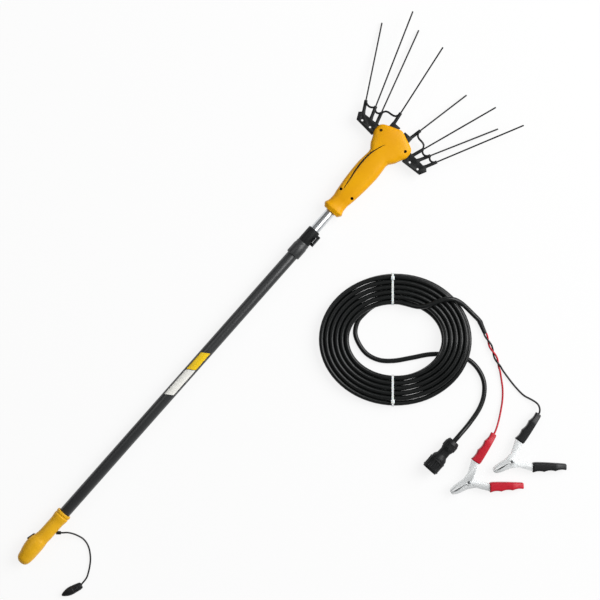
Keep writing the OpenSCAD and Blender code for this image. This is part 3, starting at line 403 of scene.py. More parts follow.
# Spring steel wire: a little darker than the plate
SPRING_STEEL = Finish("spring_steel", "bright_steel", "#A9ACAE", "#989B9D", 0.28, 0.1, 1.0, patch_mm=8.0,
                      grain_mm=0.6, depth_mm=0.01)
# Black oxide on the case screws: dark and oily
BLACK_OXIDE = Finish("black_oxide", "bright_steel", "#2B2622", "#221E1B", 0.35, 0.1, 1.0, patch_mm=6.0,
                     grain_mm=0.5, depth_mm=0.01)
# Natural nylon of the cable ties: milky white
WHITE_NYLON = Finish("white_nylon", "tie", "#F1F1EE", "#E6E7E4", 0.4, depth_mm=0.02, ior=1.53, subsurface=0.1)
# Rubbery switch skin: brown black
SWITCH_SKIN = Finish("switch_skin", "black_plastic", "#33271F", "#291F19", 0.5, grain_mm=0.9, depth_mm=0.05)
# Bare steel and die-cast drive pieces inside the head
DRIVE_STEEL = Finish("drive_steel", "drive_metal", "#9A9DA0", "#868A8D", 0.35, 0.12, 1.0, patch_mm=15.0,
                     depth_mm=0.02)
# Painted shade along the leaf's left edge, where the step beside it falls into shadow: brown black and dull
LEAF_PAINTED_SHADE = Finish("leaf_painted_shade", "black_plastic", "#33240A", "#2A1D07", 0.55, depth_mm=0.02, specular=0.2)
# Vinyl film bands on the pole: smooth and satin
WHITE_BAND = Finish("white_band", "dark_tube", "#F5F4EE", "#EDECE6", 0.35, grain_mm=1.5, depth_mm=0.01)
YELLOW_BAND = Finish("yellow_band", "dark_tube", "#F6CF12", "#EFC60A", 0.35, grain_mm=1.5, depth_mm=0.01)


# Meshes


def placed(name: str, data: bpy.types.ID) -> bpy.types.Object:
    """Put a mesh, curve, lamp or camera into the scene.

    Args:
        name: Name of the object.
        data: What the object holds.

    Returns:
        The object, at the origin.
    """
    made = bpy.data.objects.new(name, data)
    bpy.context.scene.collection.objects.link(made)
    return made


def smooth_faces(mesh: bpy.types.Mesh, sharp: float) -> None:
    """Shade a mesh smoothly up to an angle in degrees."""
    mesh.shade_smooth()
    mesh.set_sharp_from_angle(angle=math.radians(sharp))


def new_piece(name: str, verts: Sequence[Vector], faces: Sequence[Sequence[int]], finish: Finish,
              sharp: float = SHARP) -> bpy.types.Object:
    """Make a mesh object with merged points and outward faces.

    Args:
        name: Name of the piece.
        verts: Points in the row frame, in metres.
        faces: Corners of each face.
        finish: Finish of the whole piece.
        sharp: Degrees past which an edge stays sharp.

    Returns:
        The object, at the origin.
    """
    mesh = bpy.data.meshes.new(name)
    mesh.from_pydata([tuple(v) for v in verts], [], [tuple(f) for f in faces])
    work = bmesh.new()
    work.from_mesh(mesh)
    bmesh.ops.remove_doubles(work, verts=work.verts, dist=MERGE)
    bmesh.ops.dissolve_degenerate(work, edges=work.edges, dist=EMPTY)
    bmesh.ops.recalc_face_normals(work, faces=work.faces)
    work.to_mesh(mesh)
    work.free()
    mesh.materials.append(finish.material())
    smooth_faces(mesh, sharp)
    return placed(name, mesh)


def settle(piece: bpy.types.Object, sharp: float = SHARP) -> None:
    """Turn a piece's modifiers into a plain mesh.

    Args:
        piece: Object whose modifiers are used up.
        sharp: Degrees past which an edge stays sharp.
    """
    graph = bpy.context.evaluated_depsgraph_get()
    fresh = bpy.data.meshes.new_from_object(piece.evaluated_get(graph), depsgraph=graph)
    piece.modifiers.clear()
    old, piece.data = piece.data, fresh
    bpy.data.meshes.remove(old)
    smooth_faces(fresh, sharp)


def cut(piece: bpy.types.Object, tools: Sequence[bpy.types.Object]) -> None:
    """Cut tools out of a piece, and remove the tools.

    Args:
        piece: Piece that is cut.
        tools: Objects that are cut out of it.
    """
    for tool in tools:
        change = piece.modifiers.new(tool.name, "BOOLEAN")
        change.operation = "DIFFERENCE"
        change.solver = "EXACT"
        change.object = tool
    settle(piece)
    for tool in tools:
        bpy.data.objects.remove(tool)


def cutter(name: str, low: Vector, high: Vector, turn: Matrix | None = None, sides: int = 0) -> bpy.types.Object:
    """A box or upright cylinder to cut with.

    Args:
        name: Name of the tool.
        low: Lowest corner in metres.
        high: Highest corner in metres.
        turn: Place and turn of the tool's own frame.
        sides: Sides of a cylinder that fills the box, or none for the box itself.

    Returns:
        The tool.
    """
    work = bmesh.new()
    if sides:
        bmesh.ops.create_cone(work, cap_ends=True, segments=sides, radius1=0.5, radius2=0.5, depth=1.0)
    else:
        bmesh.ops.create_cube(work, size=1.0)
    fit = Matrix.Translation((low + high) / 2) @ Matrix.Diagonal((*(high - low), 1.0))
    work.transform((turn or Matrix.Identity(4)) @ fit)
    mesh = bpy.data.meshes.new(name)
    work.to_mesh(mesh)
    work.free()
    return placed(name, mesh)


def tool_at(name: str, frame: Matrix, low: Place, high: Place, sides: int = 40) -> bpy.types.Object:
    """A tool that fills a box in a frame of its own.

    Args:
        name: Name of the tool.
        frame: Frame whose Z is the tool's axis.
        low: Lowest corner in millimetres.
        high: Highest corner in millimetres.
        sides: Sides of a round tool, or none for a box.

    Returns:
        The tool.
    """
    return cutter(name, Vector(low) * MM, Vector(high) * MM, frame, sides)


def aimed(origin: Vector, along: Vector, steep: float = 0.9) -> Matrix:
    """Frame at a place whose Z points along a direction.

    Args:
        origin: Place in metres.
        along: Direction of the new Z.
        steep: Share of upright past which X is taken from the row frame.

    Returns:
        The frame as a matrix.
    """
    z = along.normalized()
    x = (UP.cross(z) if abs(z.z) < steep else Vector((1.0, 0.0, 0.0)).cross(z)).normalized()
    y = z.cross(x)
    return Matrix.Translation(origin) @ Matrix((x, y, z)).transposed().to_4x4()


def grid_faces(rings: int, across: int, closed: bool) -> Faces:
    """Quads between rings of points.

    Args:
        rings: Number of rings.
        across: Points in each ring.
        closed: True where each ring runs round.

    Returns:
        The faces.
    """
    spans = across if closed else across - 1
    return [
        (r * across + i, r * across + (i + 1) % across, (r + 1) * across + (i + 1) % across, (r + 1) * across + i)
        for r in range(rings - 1) for i in range(spans)
    ]


def tube_faces(rings: int, across: int) -> Faces:
    """Faces of a tube of rings with a flat face at each end.

    Args:
        rings: Number of rings.
        across: Points in each ring.

    Returns:
        The faces.
    """
    last = (rings - 1) * across
    ends = [tuple(reversed(range(across))), tuple(range(last, last + across))]
    return grid_faces(rings, across, True) + ends


def slab_faces(rows: int, across: int) -> Faces:
    """Faces of a thin closed slab whose lower sheet of points comes first.

    Args:
        rows: Rows of points in each sheet.
        across: Points in each row.

    Returns:
        The faces.
    """
    count = rows * across
    lower = grid_faces(rows, across, False)
    upper = [tuple(count + i for i in reversed(f)) for f in lower]
    rim = [r * across for r in range(rows)] + [(rows - 1) * across + i for i in range(1, across)]
    rim += [r * across + across - 1 for r in range(rows - 2, -1, -1)] + list(range(across - 2, 0, -1))
    return lower + upper + [(a, b, b + count, a + count) for a, b in zip(rim, rim[1:] + rim[:1])]


def lathe(name: str, frame: Matrix, outline: Outline, finish: Finish,
          flutes: Callable[[float, float], float], segments: int = 64) -> bpy.types.Object:
    """Turn an outline about an axis.

    Args:
        name: Name of the piece.
        frame: Frame whose Z is the axis.
        outline: Radius and height of each point, in millimetres.
        finish: Finish of the piece.
        flutes: Millimetres added to the radius at an angle and height.
        segments: Points round the axis.

    Returns:
        The turned piece.
    """
    verts = []
    for r, t in outline:
        for k in range(segments):
            angle = 2 * math.pi * k / segments
            reach = r + (flutes(angle, t) if r > 0 else 0.0)
            verts.append(frame @ (Vector((reach * math.cos(angle), reach * math.sin(angle), t)) * MM))
    return new_piece(name, verts, grid_faces(len(outline), segments, True), finish)


def rounded_outline(corners: Outline, radius: float, steps: int = 4, most: float = 0.45) -> Outline:
    """Round the corners of an open outline.

    Args:
        corners: Points of the outline, in millimetres.
        radius: Radius of the rounding, less where an edge is short.
        steps: Points round each corner.
        most: Largest share of an edge that a rounding may take.

    Returns:
        The rounded outline.
    """
    points = [Vector(c) for c in corners]
    done = [points[0]]
    for a, b, c in zip(points, points[1:], points[2:]):
        reach = min(radius, most * (a - b).length, most * (c - b).length)
        start = b + (a - b).normalized() * reach
        end = b + (c - b).normalized() * reach
        for k in range(steps + 1):
            t = k / steps
            done.append(start.lerp(b, t).lerp(b.lerp(end, t), t))
    done.append(points[-1])
    return [(p.x, p.y) for p in done]


def tube_piece(name: str, path: Sequence[Vector], radius: float, finish: Finish, sides: int) -> bpy.types.Object:
    """Round wire along a path, closed at both ends.

    Args:
        name: Name of the piece.
        path: Points of the wire's middle, in metres.
        radius: Radius in metres.
        finish: Finish of the wire.
        sides: Points round the wire.

    Returns:
        The wire.
    """
    verts: list[Vector] = []
    last = len(path) - 1
    side = UP
    for i, p in enumerate(path):
        along = (path[min(i + 1, last)] - path[max(i - 1, 0)]).normalized()
        side = (side - along * side.dot(along)).normalized()
        other = along.cross(side)
        verts += [p + radius * (math.cos(a) * side + math.sin(a) * other)
                  for a in (2 * math.pi * k / sides for k in range(sides))]
    return new_piece(name, verts, tube_faces(len(path), sides), finish)


def cord_curve(name: str, path: Sequence[Vector], diameter: float, finish: Finish,
               roundness: int = 4) -> bpy.types.Object:
    """A cord as a curve of one open spline.

    Args:
        name: Name of the cord.
        path: Points of its middle, in metres.
        diameter: Diameter in metres.
        finish: Finish of its sheath.
        roundness: Steps round a quarter of the cord.

    Returns:
        The curve.
    """
    curve = bpy.data.curves.new(name, "CURVE")
    curve.dimensions = "3D"
    curve.bevel_depth = diameter / 2
    curve.bevel_resolution = roundness
    curve.use_fill_caps = True
    spline = curve.splines.new("POLY")
    spline.points.add(len(path) - 1)
    for point, place in zip(spline.points, path):
        point.co = (*place, 1.0)
    spline.use_smooth = True
    curve.materials.append(finish.material())
    return placed(name, curve)


def fine_copy(frame: dict, node: str, body: Body, finish: Finish, bevel: float,
              sharp: float = 32.0) -> bpy.types.Object:
    """A merged copy of a rigid solid with softened edges, which stands for it.

    Args:
        frame: The loaded frame.
        node: Node to copy.
        body: Body that carries it.
        finish: Finish of the copy.
        bevel: Width of the softened edges in millimetres, or none.
        sharp: Degrees past which an edge counts as one.

    Returns:
        The copy.
    """
    mesh = frame["nodes"][node].data.copy()
    mesh.name = node + "_fine"
    work = bmesh.new()
    work.from_mesh(mesh)
    bmesh.ops.remove_doubles(work, verts=work.verts, dist=MERGE)
    bmesh.ops.dissolve_limit(work, angle_limit=FLAT, verts=work.verts, edges=work.edges)
    work.to_mesh(mesh)
    work.free()
    mesh.materials.clear()
    mesh.materials.append(finish.material())
    made = placed(node + "_fine", mesh)
    if bevel:
        soft = made.modifiers.new("edges", "BEVEL")
        soft.width = bevel * MM
        soft.segments = 2
        soft.limit_method = "ANGLE"
        soft.angle_limit = math.radians(sharp)
        soft.use_clamp_overlap = True
    settle(made, sharp)
    stand_in(made, body, finish, node)
    return made


def stand_in(piece: bpy.types.Object, body: Body, finish: Finish, *nodes: str) -> None:
    """Let a piece ride on a body and stand for nodes there.

    Args:
        piece: The piece.
        body: Body that carries it.
        finish: Not used.
        nodes: Nodes that it replaces.
    """
    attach(piece, body.value)
    if nodes:
        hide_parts(*nodes)
    log.info("%s rides on %s for %s", piece.name, body.value, ", ".join(nodes) or "itself")


# Housings


@dataclass(frozen=True)
class Section:
    """One cross-section of a housing: half widths, half height and how square it is, 2 for an ellipse."""

    left: float
    right: float
    height: float
    square: float = 2.0

    def point(self, angle: float) -> tuple[float, float]:
        """Place across and up on the section.

        Args:
            angle: Radians from the right-hand side.

        Returns:
            Millimetres across and up.
        """
        c, s = math.cos(angle), math.sin(angle)
        half = self.right if c >= 0 else self.left
        across = half * math.copysign(abs(c) ** (2 / self.square), c)
        return across, self.height * math.copysign(abs(s) ** (2 / self.square), s)


def level(x: float, station: float) -> float:
    """Relief of a plain surface, which is none anywhere."""
    return 0.0


@dataclass
class HalfShell:
    """Half of a split housing, as a closed wall that stands for one node.

    The seam is its distance from the parting plane. No point is lower than the floor, which is far down by default.
    """

    node: str
    half: Half
    stations: list[float]
    outer: Callable[[float], Section]
    inner: Callable[[float], Section]
    cavity: tuple[float, float]
    finish: Finish
    relief: Callable[[float, float], float] = level
    floor: float = -1000.0
    steps: int = 72
    seam: float = 0.2
    sharp: float = 40.0

    def ring(self, station: float, inside: bool) -> list[Vector]:
        """Points of one ring, from right to left.

        Args:
            station: Place along the pole.
            inside: True for the inner face of the wall.

        Returns:
            The ring's points.
        """
        if inside and not self.cavity[0] <= station <= self.cavity[1]:
            held = min(max(station, self.cavity[0]), self.cavity[1])
            return [pole_point(0.0, held, self.half.value * self.seam)] * (self.steps + 1)
        section = self.inner(station) if inside else self.outer(station)
        points = []
        for k in range(self.steps + 1):
            x, z = section.point(math.pi * k / self.steps)
            lift = 0.0 if inside else self.relief(x, station)
            z = max(z + lift, self.seam) * self.half.value
            points.append(pole_point(x, station, max(z, self.floor)))
        return points

    def build(self, body: Body, tools: Sequence[bpy.types.Object]) -> None:
        """Make the wall, cut its openings and put it on its body.

        Args:
            body: Body that carries it.
            tools: Objects that are cut out of it.
        """
        verts = [p for inside in (False, True) for s in self.stations for p in self.ring(s, inside)]
        faces = slab_faces(len(self.stations), self.steps + 1)
        piece = new_piece(self.node + "_shell", verts, faces, self.finish, self.sharp)
        cut(piece, tools)
        stand_in(piece, body, self.finish, self.node)


@dataclass
class ScrewSet:
    """Case screws on their seats, set out with Geometry Nodes, with sizes in metres."""

    name: str
    seats: list[Vector]
    shank: float
    head_width: float = 0.0076
    head_height: float = 0.0025
    shank_width: float = 0.0038
    head_sides: int = 32
    shank_sides: int = 24
    shares: tuple[tuple[str, str, float], ...] = (
        ("head", "Head Width", 0.5), ("top", "Head Width", 0.36), ("arm", "Head Width", 0.56),
        ("slot", "Head Width", 0.13), ("depth", "Head Height", 0.5), ("stem", "Shank Width", 0.5),
        ("drop", "Shank Length", -0.5))

    def sizes(self) -> dict[str, float]:
        """Sizes of a screw, by the name of their input."""
        return {"Head Width": self.head_width, "Head Height": self.head_height,
                "Shank Width": self.shank_width, "Shank Length": self.shank}

    def tree(self) -> bpy.types.NodeTree:
        """Node tree that puts a cross-recessed screw on each point.

        Returns:
            The tree.
        """
        tree = bpy.data.node_groups.new(self.name + "_nodes", "GeometryNodeTree")
        tree.interface.new_socket("Geometry", in_out="INPUT", socket_type="NodeSocketGeometry")
        for label in self.sizes():
            tree.interface.new_socket(label, in_out="INPUT", socket_type="NodeSocketFloat")
        tree.interface.new_socket("Geometry", in_out="OUTPUT", socket_type="NodeSocketGeometry")
        given = add_node(tree, "NodeGroupInput").outputs
        size = {key: add_node(tree, "ShaderNodeMath", {0: given[label], 1: share}, operation="MULTIPLY").outputs[0]
                for key, label, share in self.shares}
        head = add_node(tree, "GeometryNodeMeshCone", {
            "Vertices": self.head_sides, "Radius Bottom": size["head"], "Radius Top": size["top"],
            "Depth": given["Head Height"]}).outputs["Mesh"]
        raised = add_node(tree, "ShaderNodeCombineXYZ", {"Z": given["Head Height"]}).outputs[0]
        for x, y in (("arm", "slot"), ("slot", "arm")):
            span = add_node(tree, "ShaderNodeCombineXYZ", {"X": size[x], "Y": size[y], "Z": size["depth"]})
            bar = add_node(tree, "GeometryNodeMeshCube", {"Size": span.outputs[0]}).outputs["Mesh"]
            lifted = add_node(tree, "GeometryNodeTransform", {"Geometry": bar, "Translation": raised})
            head = add_node(tree, "GeometryNodeMeshBoolean", {"Mesh 1": head, "Mesh 2": lifted.outputs[0]},
                            operation="DIFFERENCE", solver="EXACT").outputs["Mesh"]
        stem = add_node(tree, "GeometryNodeMeshCylinder", {
            "Vertices": self.shank_sides, "Radius": size["stem"], "Depth": given["Shank Length"]}).outputs["Mesh"]
        below = add_node(tree, "ShaderNodeCombineXYZ", {"Z": size["drop"]}).outputs[0]
        lowered = add_node(tree, "GeometryNodeTransform", {"Geometry": stem, "Translation": below}).outputs[0]
        screw = add_node(tree, "GeometryNodeJoinGeometry")
        for piece in (head, lowered):
            tree.links.new(piece, screw.inputs[0])
        set_out = add_node(tree, "GeometryNodeInstanceOnPoints", {
            "Points": given["Geometry"], "Instance": screw.outputs[0]}).outputs["Instances"]
        real = add_node(tree, "GeometryNodeRealizeInstances", {"Geometry": set_out}).outputs[0]
        coated = add_node(tree, "GeometryNodeSetMaterial", {
            "Geometry": real, "Material": BLACK_OXIDE.material()}).outputs[0]
        add_node(tree, "NodeGroupOutput", {"Geometry": coated})
        return tree

    def build(self, body: Body, node: str) -> None:
        """Make the screws and let them stand for their node.

        Args:
            body: Body that carries the screws.
            node: Node that they replace.
        """
        piece = new_piece(self.name, self.seats, [], BLACK_OXIDE)
        setter = piece.modifiers.new("screws", "NODES")
        setter.node_group = self.tree()
        sizes = self.sizes()
        for item in setter.node_group.interface.items_tree:
            if item.in_out == "INPUT" and item.name in sizes:
                setter[item.identifier] = sizes[item.name]
        settle(piece)
        stand_in(piece, body, BLACK_OXIDE, node)


@dataclass
class Grip:
    """Rear grip: two golden shells with a collar, the switch and a screw.

    Each row of the form has a share of the length, then what the left, the right and the height add to the radius.
    """

    length: float = 172.0
    radius: float = 18.5
    square: float = 2.2
    wall: float = 2.6
    rear_wall: float = 8.6
    tube_radius: float = 15.05
    tube_start: float = 92.0
    bore_step: float = 0.1
    form: Rows = (
        (0.0, -13.0, -13.0, -13.0), (0.006, -9.5, -9.5, -9.5), (0.02, -5.8, -5.8, -5.8), (0.06, -0.5, -1.5, -0.5),
        (0.13, 2.1, 0.8, 2.5), (0.2, 5.5, 1.5, 4.5), (0.27, 7.5, 1.5, 5.5), (0.35, 8.3, 1.5, 5.5),
        (0.42, 6.2, 0.7, 4.2), (0.49, 1.8, -0.6, 1.0), (0.57, 0.0, 0.0, 0.0), (0.74, -0.3, -0.3, -0.3),
        (0.8, -0.5, -0.5, -0.5), (0.85, 0.1, 0.1, 0.1), (0.895, 1.3, 1.3, 1.3), (0.93, 1.8, 1.8, 1.8),
        (0.94, 0.5, 0.5, 0.5), (0.955, 0.5, 0.5, 0.5), (0.965, 1.8, 1.8, 1.8), (0.99, 1.8, 1.8, 1.8),
        (1.0, 0.9, 0.9, 0.9))
    switch_place: tuple[float, float] = (-24.974, 68.8)
    switch_tilt: float = 14.0
    switch_edge: float = 1.4
    window: tuple[Place, Place] = ((-11.3, -7.6, -6.3), (11.3, 10.4, 6.3))
    lead_hole: tuple[Place, Place] = ((-4.5, -4.5, 0.0), (4.5, 4.5, 24.0))
    recess: tuple[Place, Place] = ((-4.0, -4.0, -34.0), (4.0, 4.0, -14.5))
    screw_seat: Place = (0.0, 20.64, 14.5)
    screw_shank: float = 0.0285
    profiles: list[Profile] = field(init=False)

    def __post_init__(self) -> None:
        """Set up the outline of each side."""
        knots = tuple(f[0] * self.length for f in self.form)
        self.profiles = [Profile(knots, tuple(self.radius + f[k] for f in self.form)) for k in (1, 2, 3)]

    def outer(self, station: float) -> Section:
        """Outside of the grip at a station."""
        return Section(*(p.at(station) for p in self.profiles), self.square)

    def inner(self, station: float) -> Section:
        """Inside of the grip, which is round where the tube goes in.

        Args:
            station: Place along the pole.

        Returns:
            The section there.
        """
        if station > self.tube_start - self.wall:
            return Section(self.tube_radius, self.tube_radius, self.tube_radius)
        return Section(*(p.at(station) - self.wall for p in self.profiles), self.square)

    def openings(self, half: Half) -> list[bpy.types.Object]:
        """Tools for the switch window, the lead's hole and, below, the screw.

        Args:
            half: Half of the grip that is cut.

        Returns:
            The tools.
        """
        tilt = math.radians(90.0 - self.switch_tilt)
        at_switch = Matrix.Translation(pole_point(*self.switch_place)) @ Matrix.Rotation(tilt, 4, "Z")
        made = [tool_at("window", at_switch, *self.window, sides=0),
                tool_at("hole", aimed(pole_point(*LEAD_EXIT), LEAD_WAY), *self.lead_hole)]
        if half is Half.BOTTOM:
            seat = Matrix.Translation(pole_point(*self.screw_seat[:2]))
            made.append(tool_at("recess", seat, *self.recess))
        return made

    def build(self, frame: dict) -> None:
        """Make the shells and dress the switch.

        Args:
            frame: The loaded frame.
        """
        bore = self.tube_start - self.wall
        stations = spread(0.0, self.length, RING_STEP, [*self.profiles[0].knots, bore, bore + self.bore_step])
        for half, node in ((Half.TOP, "grip_top"), (Half.BOTTOM, "grip_bottom")):
            shell = HalfShell(node, half, stations, self.outer, self.inner, (self.rear_wall, self.length), GOLDEN_ABS)
            shell.build(Body.POLE, self.openings(half))
        fine_copy(frame, "power_switch", Body.SWITCH, SWITCH_SKIN, self.switch_edge)
        ScrewSet("grip_screw_set", [pole_point(*self.screw_seat)], self.screw_shank).build(Body.POLE, "grip_screws")


@dataclass
class Head:
    """Vibrating head: two yellow shells with a raised leaf, screws and the comb slot.

    Each row of a form has a share of the neck's or the lobes' length, then shares of the half width and the crown.
    The painted shade line's lifts are the heights of its lower and its upper face over the shell.
    """

    start: float = 1217.0
    neck: float = 181.0
    lobes: float = 97.0
    neck_half: float = 33.0
    lobe_half: float = 57.0
    lobe_root: float = 0.91
    crown: float = 24.0
    square: float = 3.0
    wall: float = 2.5
    rings: int = 120
    bore: float = 13.05
    bore_end: float = 1270.0
    bore_step: float = 0.1
    slot_half: float = 8.8
    slot_over: float = 5.0
    slot_span: tuple[float, float] = (0.27, 1.4)
    foot_fill: float = 0.8
    leaf_depth: float = 2.0
    leaf_step: float = 2.5
    leaf_fade: float = 9.0
    leaf_rise: float = 2.4
    leaf_curve: float = 1.5
    line_ends: tuple[float, float] = (1284.0, 1440.0)
    line_half: float = 2.1
    line_tip: float = 0.2
    line_taper: float = 0.7
    line_lifts: tuple[float, float] = (-1.0, 0.25)
    line_step: float = 2.0
    line_across: int = 6
    neck_form: Rows = (
        (0.0, 0.68, 0.84), (0.025, 0.77, 0.92), (0.055, 0.87, 1.0), (0.09, 0.79, 0.96), (0.14, 0.72, 0.9),
        (0.2, 0.71, 0.88), (0.28, 0.78, 0.92), (0.44, 0.89, 0.98), (0.62, 0.97, 1.0), (0.79, 1.0, 1.0),
        (0.92, 0.95, 0.98), (1.0, 0.91, 0.96))
    lobe_form: Rows = (
        (0.08, 0.04, 0.95), (0.165, 0.26, 0.93), (0.25, 0.47, 0.92), (0.33, 0.61, 0.91), (0.415, 0.75, 0.9),
        (0.5, 0.93, 0.89), (0.58, 1.0, 0.88), (0.66, 1.0, 0.86), (0.735, 0.95, 0.84), (0.8, 0.78, 0.81),
        (0.85, 0.5, 0.78), (0.9, 0.08, 0.74), (0.94, -0.34, 0.7), (0.975, -0.66, 0.66), (1.0, -0.92, 0.62))
    leaf: Profile = Profile((1277.0, 1286.0, 1315.0, 1343.0, 1370.0, 1395.0, 1415.0, 1428.0, 1437.0, 1445.0),
                            (9.0, 13.5, 17.5, 22.0, 23.5, 22.0, 17.0, 12.5, 8.5, 4.0))
    screw_seats: Route = ((19.0, 1278.0, 14.88), (42.0, 1461.0, 16.8))
    screw_shank: float = 0.0305
    recess_half: float = 4.0
    recess_top: float = 40.0
    width: Profile = field(init=False)
    height: Profile = field(init=False)

    def __post_init__(self) -> None:
        """Set up the outline in plan and in side view."""
        root = self.lobe_root * self.neck_half
        first = self.start + self.neck
        rows = [(self.start + s * self.neck, w * self.neck_half, h * self.crown) for s, w, h in self.neck_form]
        rows += [(first + s * self.lobes, root + w * (self.lobe_half - root), h * self.crown)
                 for s, w, h in self.lobe_form]
        knots, widths, heights = zip(*rows)
        self.width = Profile(knots, widths)
        self.height = Profile(knots, heights)

    def section(self, station: float, inset: float = 0.0, fill: float = 0.0) -> Section:
        """Section of the head, drawn in or filled out.

        Args:
            station: Place along the pole.
            inset: How far the wall is drawn in.
            fill: How much higher it is.

        Returns:
            The section there.
        """
        half = self.width.at(station) - inset
        return Section(half, half, self.height.at(station) - inset + fill, self.square)

    def foot(self, station: float) -> Section:
        """Outside of the lower shell, which is a little fuller."""
        return self.section(station, fill=self.foot_fill)

    def inner(self, station: float) -> Section:
        """Inside of both shells, which is round where the tube goes in.

        Args:
            station: Place along the pole.

        Returns:
            The section there.
        """
        if station < self.bore_end:
            return Section(self.bore, self.bore, self.bore)
        return self.section(station, inset=self.wall)

    def leaf_relief(self, x: float, station: float) -> float:
        """Step down beside the leaf's left edge, which fades outwards.

        Args:
            x: Millimetres across.
            station: Millimetres along.

        Returns:
            Millimetres added to the height.
        """
        first, last = self.leaf.knots[0], self.leaf.knots[-1]
        past = -x - self.leaf.at(station)
        if not first < station < last or past <= 0:
            return 0.0
        along = (station - first) / (last - first)
        depth = self.leaf_depth * min(1.0, self.leaf_rise * math.sin(math.pi * along))
        if past < self.leaf_step:
            return -depth * past / self.leaf_step
        return -depth * max(0.0, 1 - (past - self.leaf_step) / self.leaf_fade) ** self.leaf_curve

    def surface(self, x: float, station: float) -> float:
        """Height of the upper shell over a spot of its plan.

        Args:
            x: Millimetres across.
            station: Millimetres along.

        Returns:
            Millimetres above the pole's axis.
        """
        section = self.section(station)
        share = min(1.0, abs(x) / section.right)
        return section.height * (1 - share ** section.square) ** (1 / section.square) + self.leaf_relief(x, station)

    def leaf_painted_shade_line(self) -> None:
        """A dark sheet along the leaf's left edge, which tapers to both ends: painted shade over the step beside the
        leaf.
        """
        first, last = self.line_ends
        stations = spread(first, last, self.line_step)
        verts = []
        for lift in self.line_lifts:
            for station in stations:
                along = math.pi * (station - first) / (last - first)
                half = self.line_tip + self.line_half * math.sin(along) ** self.line_taper
                for k in range(self.line_across + 1):
                    x = half * (2 * k / self.line_across - 1) - self.leaf.at(station) - self.leaf_step / 2
                    verts.append(pole_point(x, station, self.surface(x, station) + lift))
        # painted shade: a dark sheet laid where the step beside the leaf falls into shadow
        piece = new_piece("leaf_painted_shade_line", verts, slab_faces(len(stations), self.line_across + 1), LEAF_PAINTED_SHADE)
        stand_in(piece, Body.UPPER, LEAF_PAINTED_SHADE)

    def seats(self) -> list[Place]:
        """Seats of all screws, left and right."""
        return [(side * x, station, z) for x, station, z in self.screw_seats for side in (-1, 1)]

    def openings(self, half: Half) -> list[bpy.types.Object]:
        """Tools for the comb slot and, on top, the screw recesses.

        Args:
            half: Half of the head that is cut.

        Returns:
            The tools.
        """
        reach, first, r = self.lobe_half + self.slot_over, self.start + self.neck, self.recess_half
        low = pole_point(-reach, first + self.slot_span[0] * self.lobes, -self.slot_half)
        high = pole_point(reach, first + self.slot_span[1] * self.lobes, self.slot_half)
        made = [cutter("slot", low, high)]
        if half is Half.TOP:
            made += [tool_at("recess", Matrix.Translation(pole_point(x, s)), (-r, -r, z), (r, r, self.recess_top))
                     for x, s, z in self.seats()]
        return made

    def build(self) -> None:
        """Make both shells, their screws and the painted shade line along the leaf."""
        end = self.start + self.neck + self.lobes
        stations = spread(self.start, end, RING_STEP, [self.bore_end - self.bore_step, self.bore_end + self.bore_step])
        for half, node, outer, relief in ((Half.TOP, "head_top", self.section, self.leaf_relief),
                                          (Half.BOTTOM, "head_bottom", self.foot, level)):
            shell = HalfShell(node, half, stations, outer, self.inner, (self.start, end - 2 * self.wall), YELLOW_ABS,
                              relief, -self.crown, self.rings)
            shell.build(Body.UPPER, self.openings(half))
        seats = [pole_point(*seat) for seat in self.seats()]
        ScrewSet("head_screw_set", seats, self.screw_shank).build(Body.UPPER, "head_screws")
        self.leaf_painted_shade_line()


@dataclass
class Pole:
    """Tubes, lock and the plain colour bands."""

    solids: tuple[tuple[str, Body, Finish, float], ...] = (
        ("outer_tube", Body.POLE, TUBE_COAT, 0.3), ("inner_tube", Body.UPPER, DRAWN_ALUMINIUM, 0.3),
        ("lock_sleeve", Body.POLE, CHARCOAL_NYLON, 0.4), ("lock_collar", Body.POLE, BLACK_NYLON, 0.4),
        ("lock_lever", Body.LEVER, BLACK_NYLON, 0.6), ("lever_pin", Body.POLE, ZINC_PLATE, 0.4))
    bands: tuple[tuple[str, float, float, Finish], ...] = (
        ("white_band", 583.0, 668.0, WHITE_BAND), ("yellow_band", 670.0, 727.0, YELLOW_BAND))
    band_radius: float = 15.12
    band_thickness: float = 0.1
    band_half_angle: float = 42.0
    band_slant: float = 7.0
    around: int = 28
    along: int = 2

    def band(self, name: str, first: float, last: float, finish: Finish) -> None:
        """A thin film band on top of the outer tube with slanted ends.

        Args:
            name: Name of the band.
            first: Station of its rear edge at the middle.
            last: Station of its front edge at the middle.
            finish: Finish of the band.
        """
        verts = []
        for lift in (0.0, self.band_thickness):
            r = self.band_radius - self.band_thickness + lift
            for j in range(self.along + 1):
                for i in range(self.around + 1):
                    share = 2 * i / self.around - 1
                    angle = math.radians(share * self.band_half_angle)
                    station = first + (last - first) * j / self.along + share * self.band_slant
                    verts.append(pole_point(r * math.sin(angle), station, r * math.cos(angle)))
        piece = new_piece(name, verts, slab_faces(self.along + 1, self.around + 1), finish)
        stand_in(piece, Body.POLE, finish)

    def build(self, frame: dict) -> None:
        """Dress the tubes and the lock, and lay the bands.

        Args:
            frame: The loaded frame.
        """
        for solid in self.solids:
            fine_copy(frame, *solid)
        for band in self.bands:
            self.band(*band)


@dataclass
class Combs:
    """Both combs with their tines."""

    tines: int = 4
    comb_edge: float = 0.5

    def build(self, frame: dict) -> None:
        """Dress the combs and tines.

        Args:
            frame: The loaded frame.
        """
        for side, body in (("left", Body.LEFT_COMB), ("right", Body.RIGHT_COMB)):
            fine_copy(frame, side + "_comb", body, BLACK_NYLON, self.comb_edge)
            for number in range(1, self.tines + 1):
                fine_copy(frame, f"{side}_tine_{number}", body, FIBRE_ROD, 0.0)


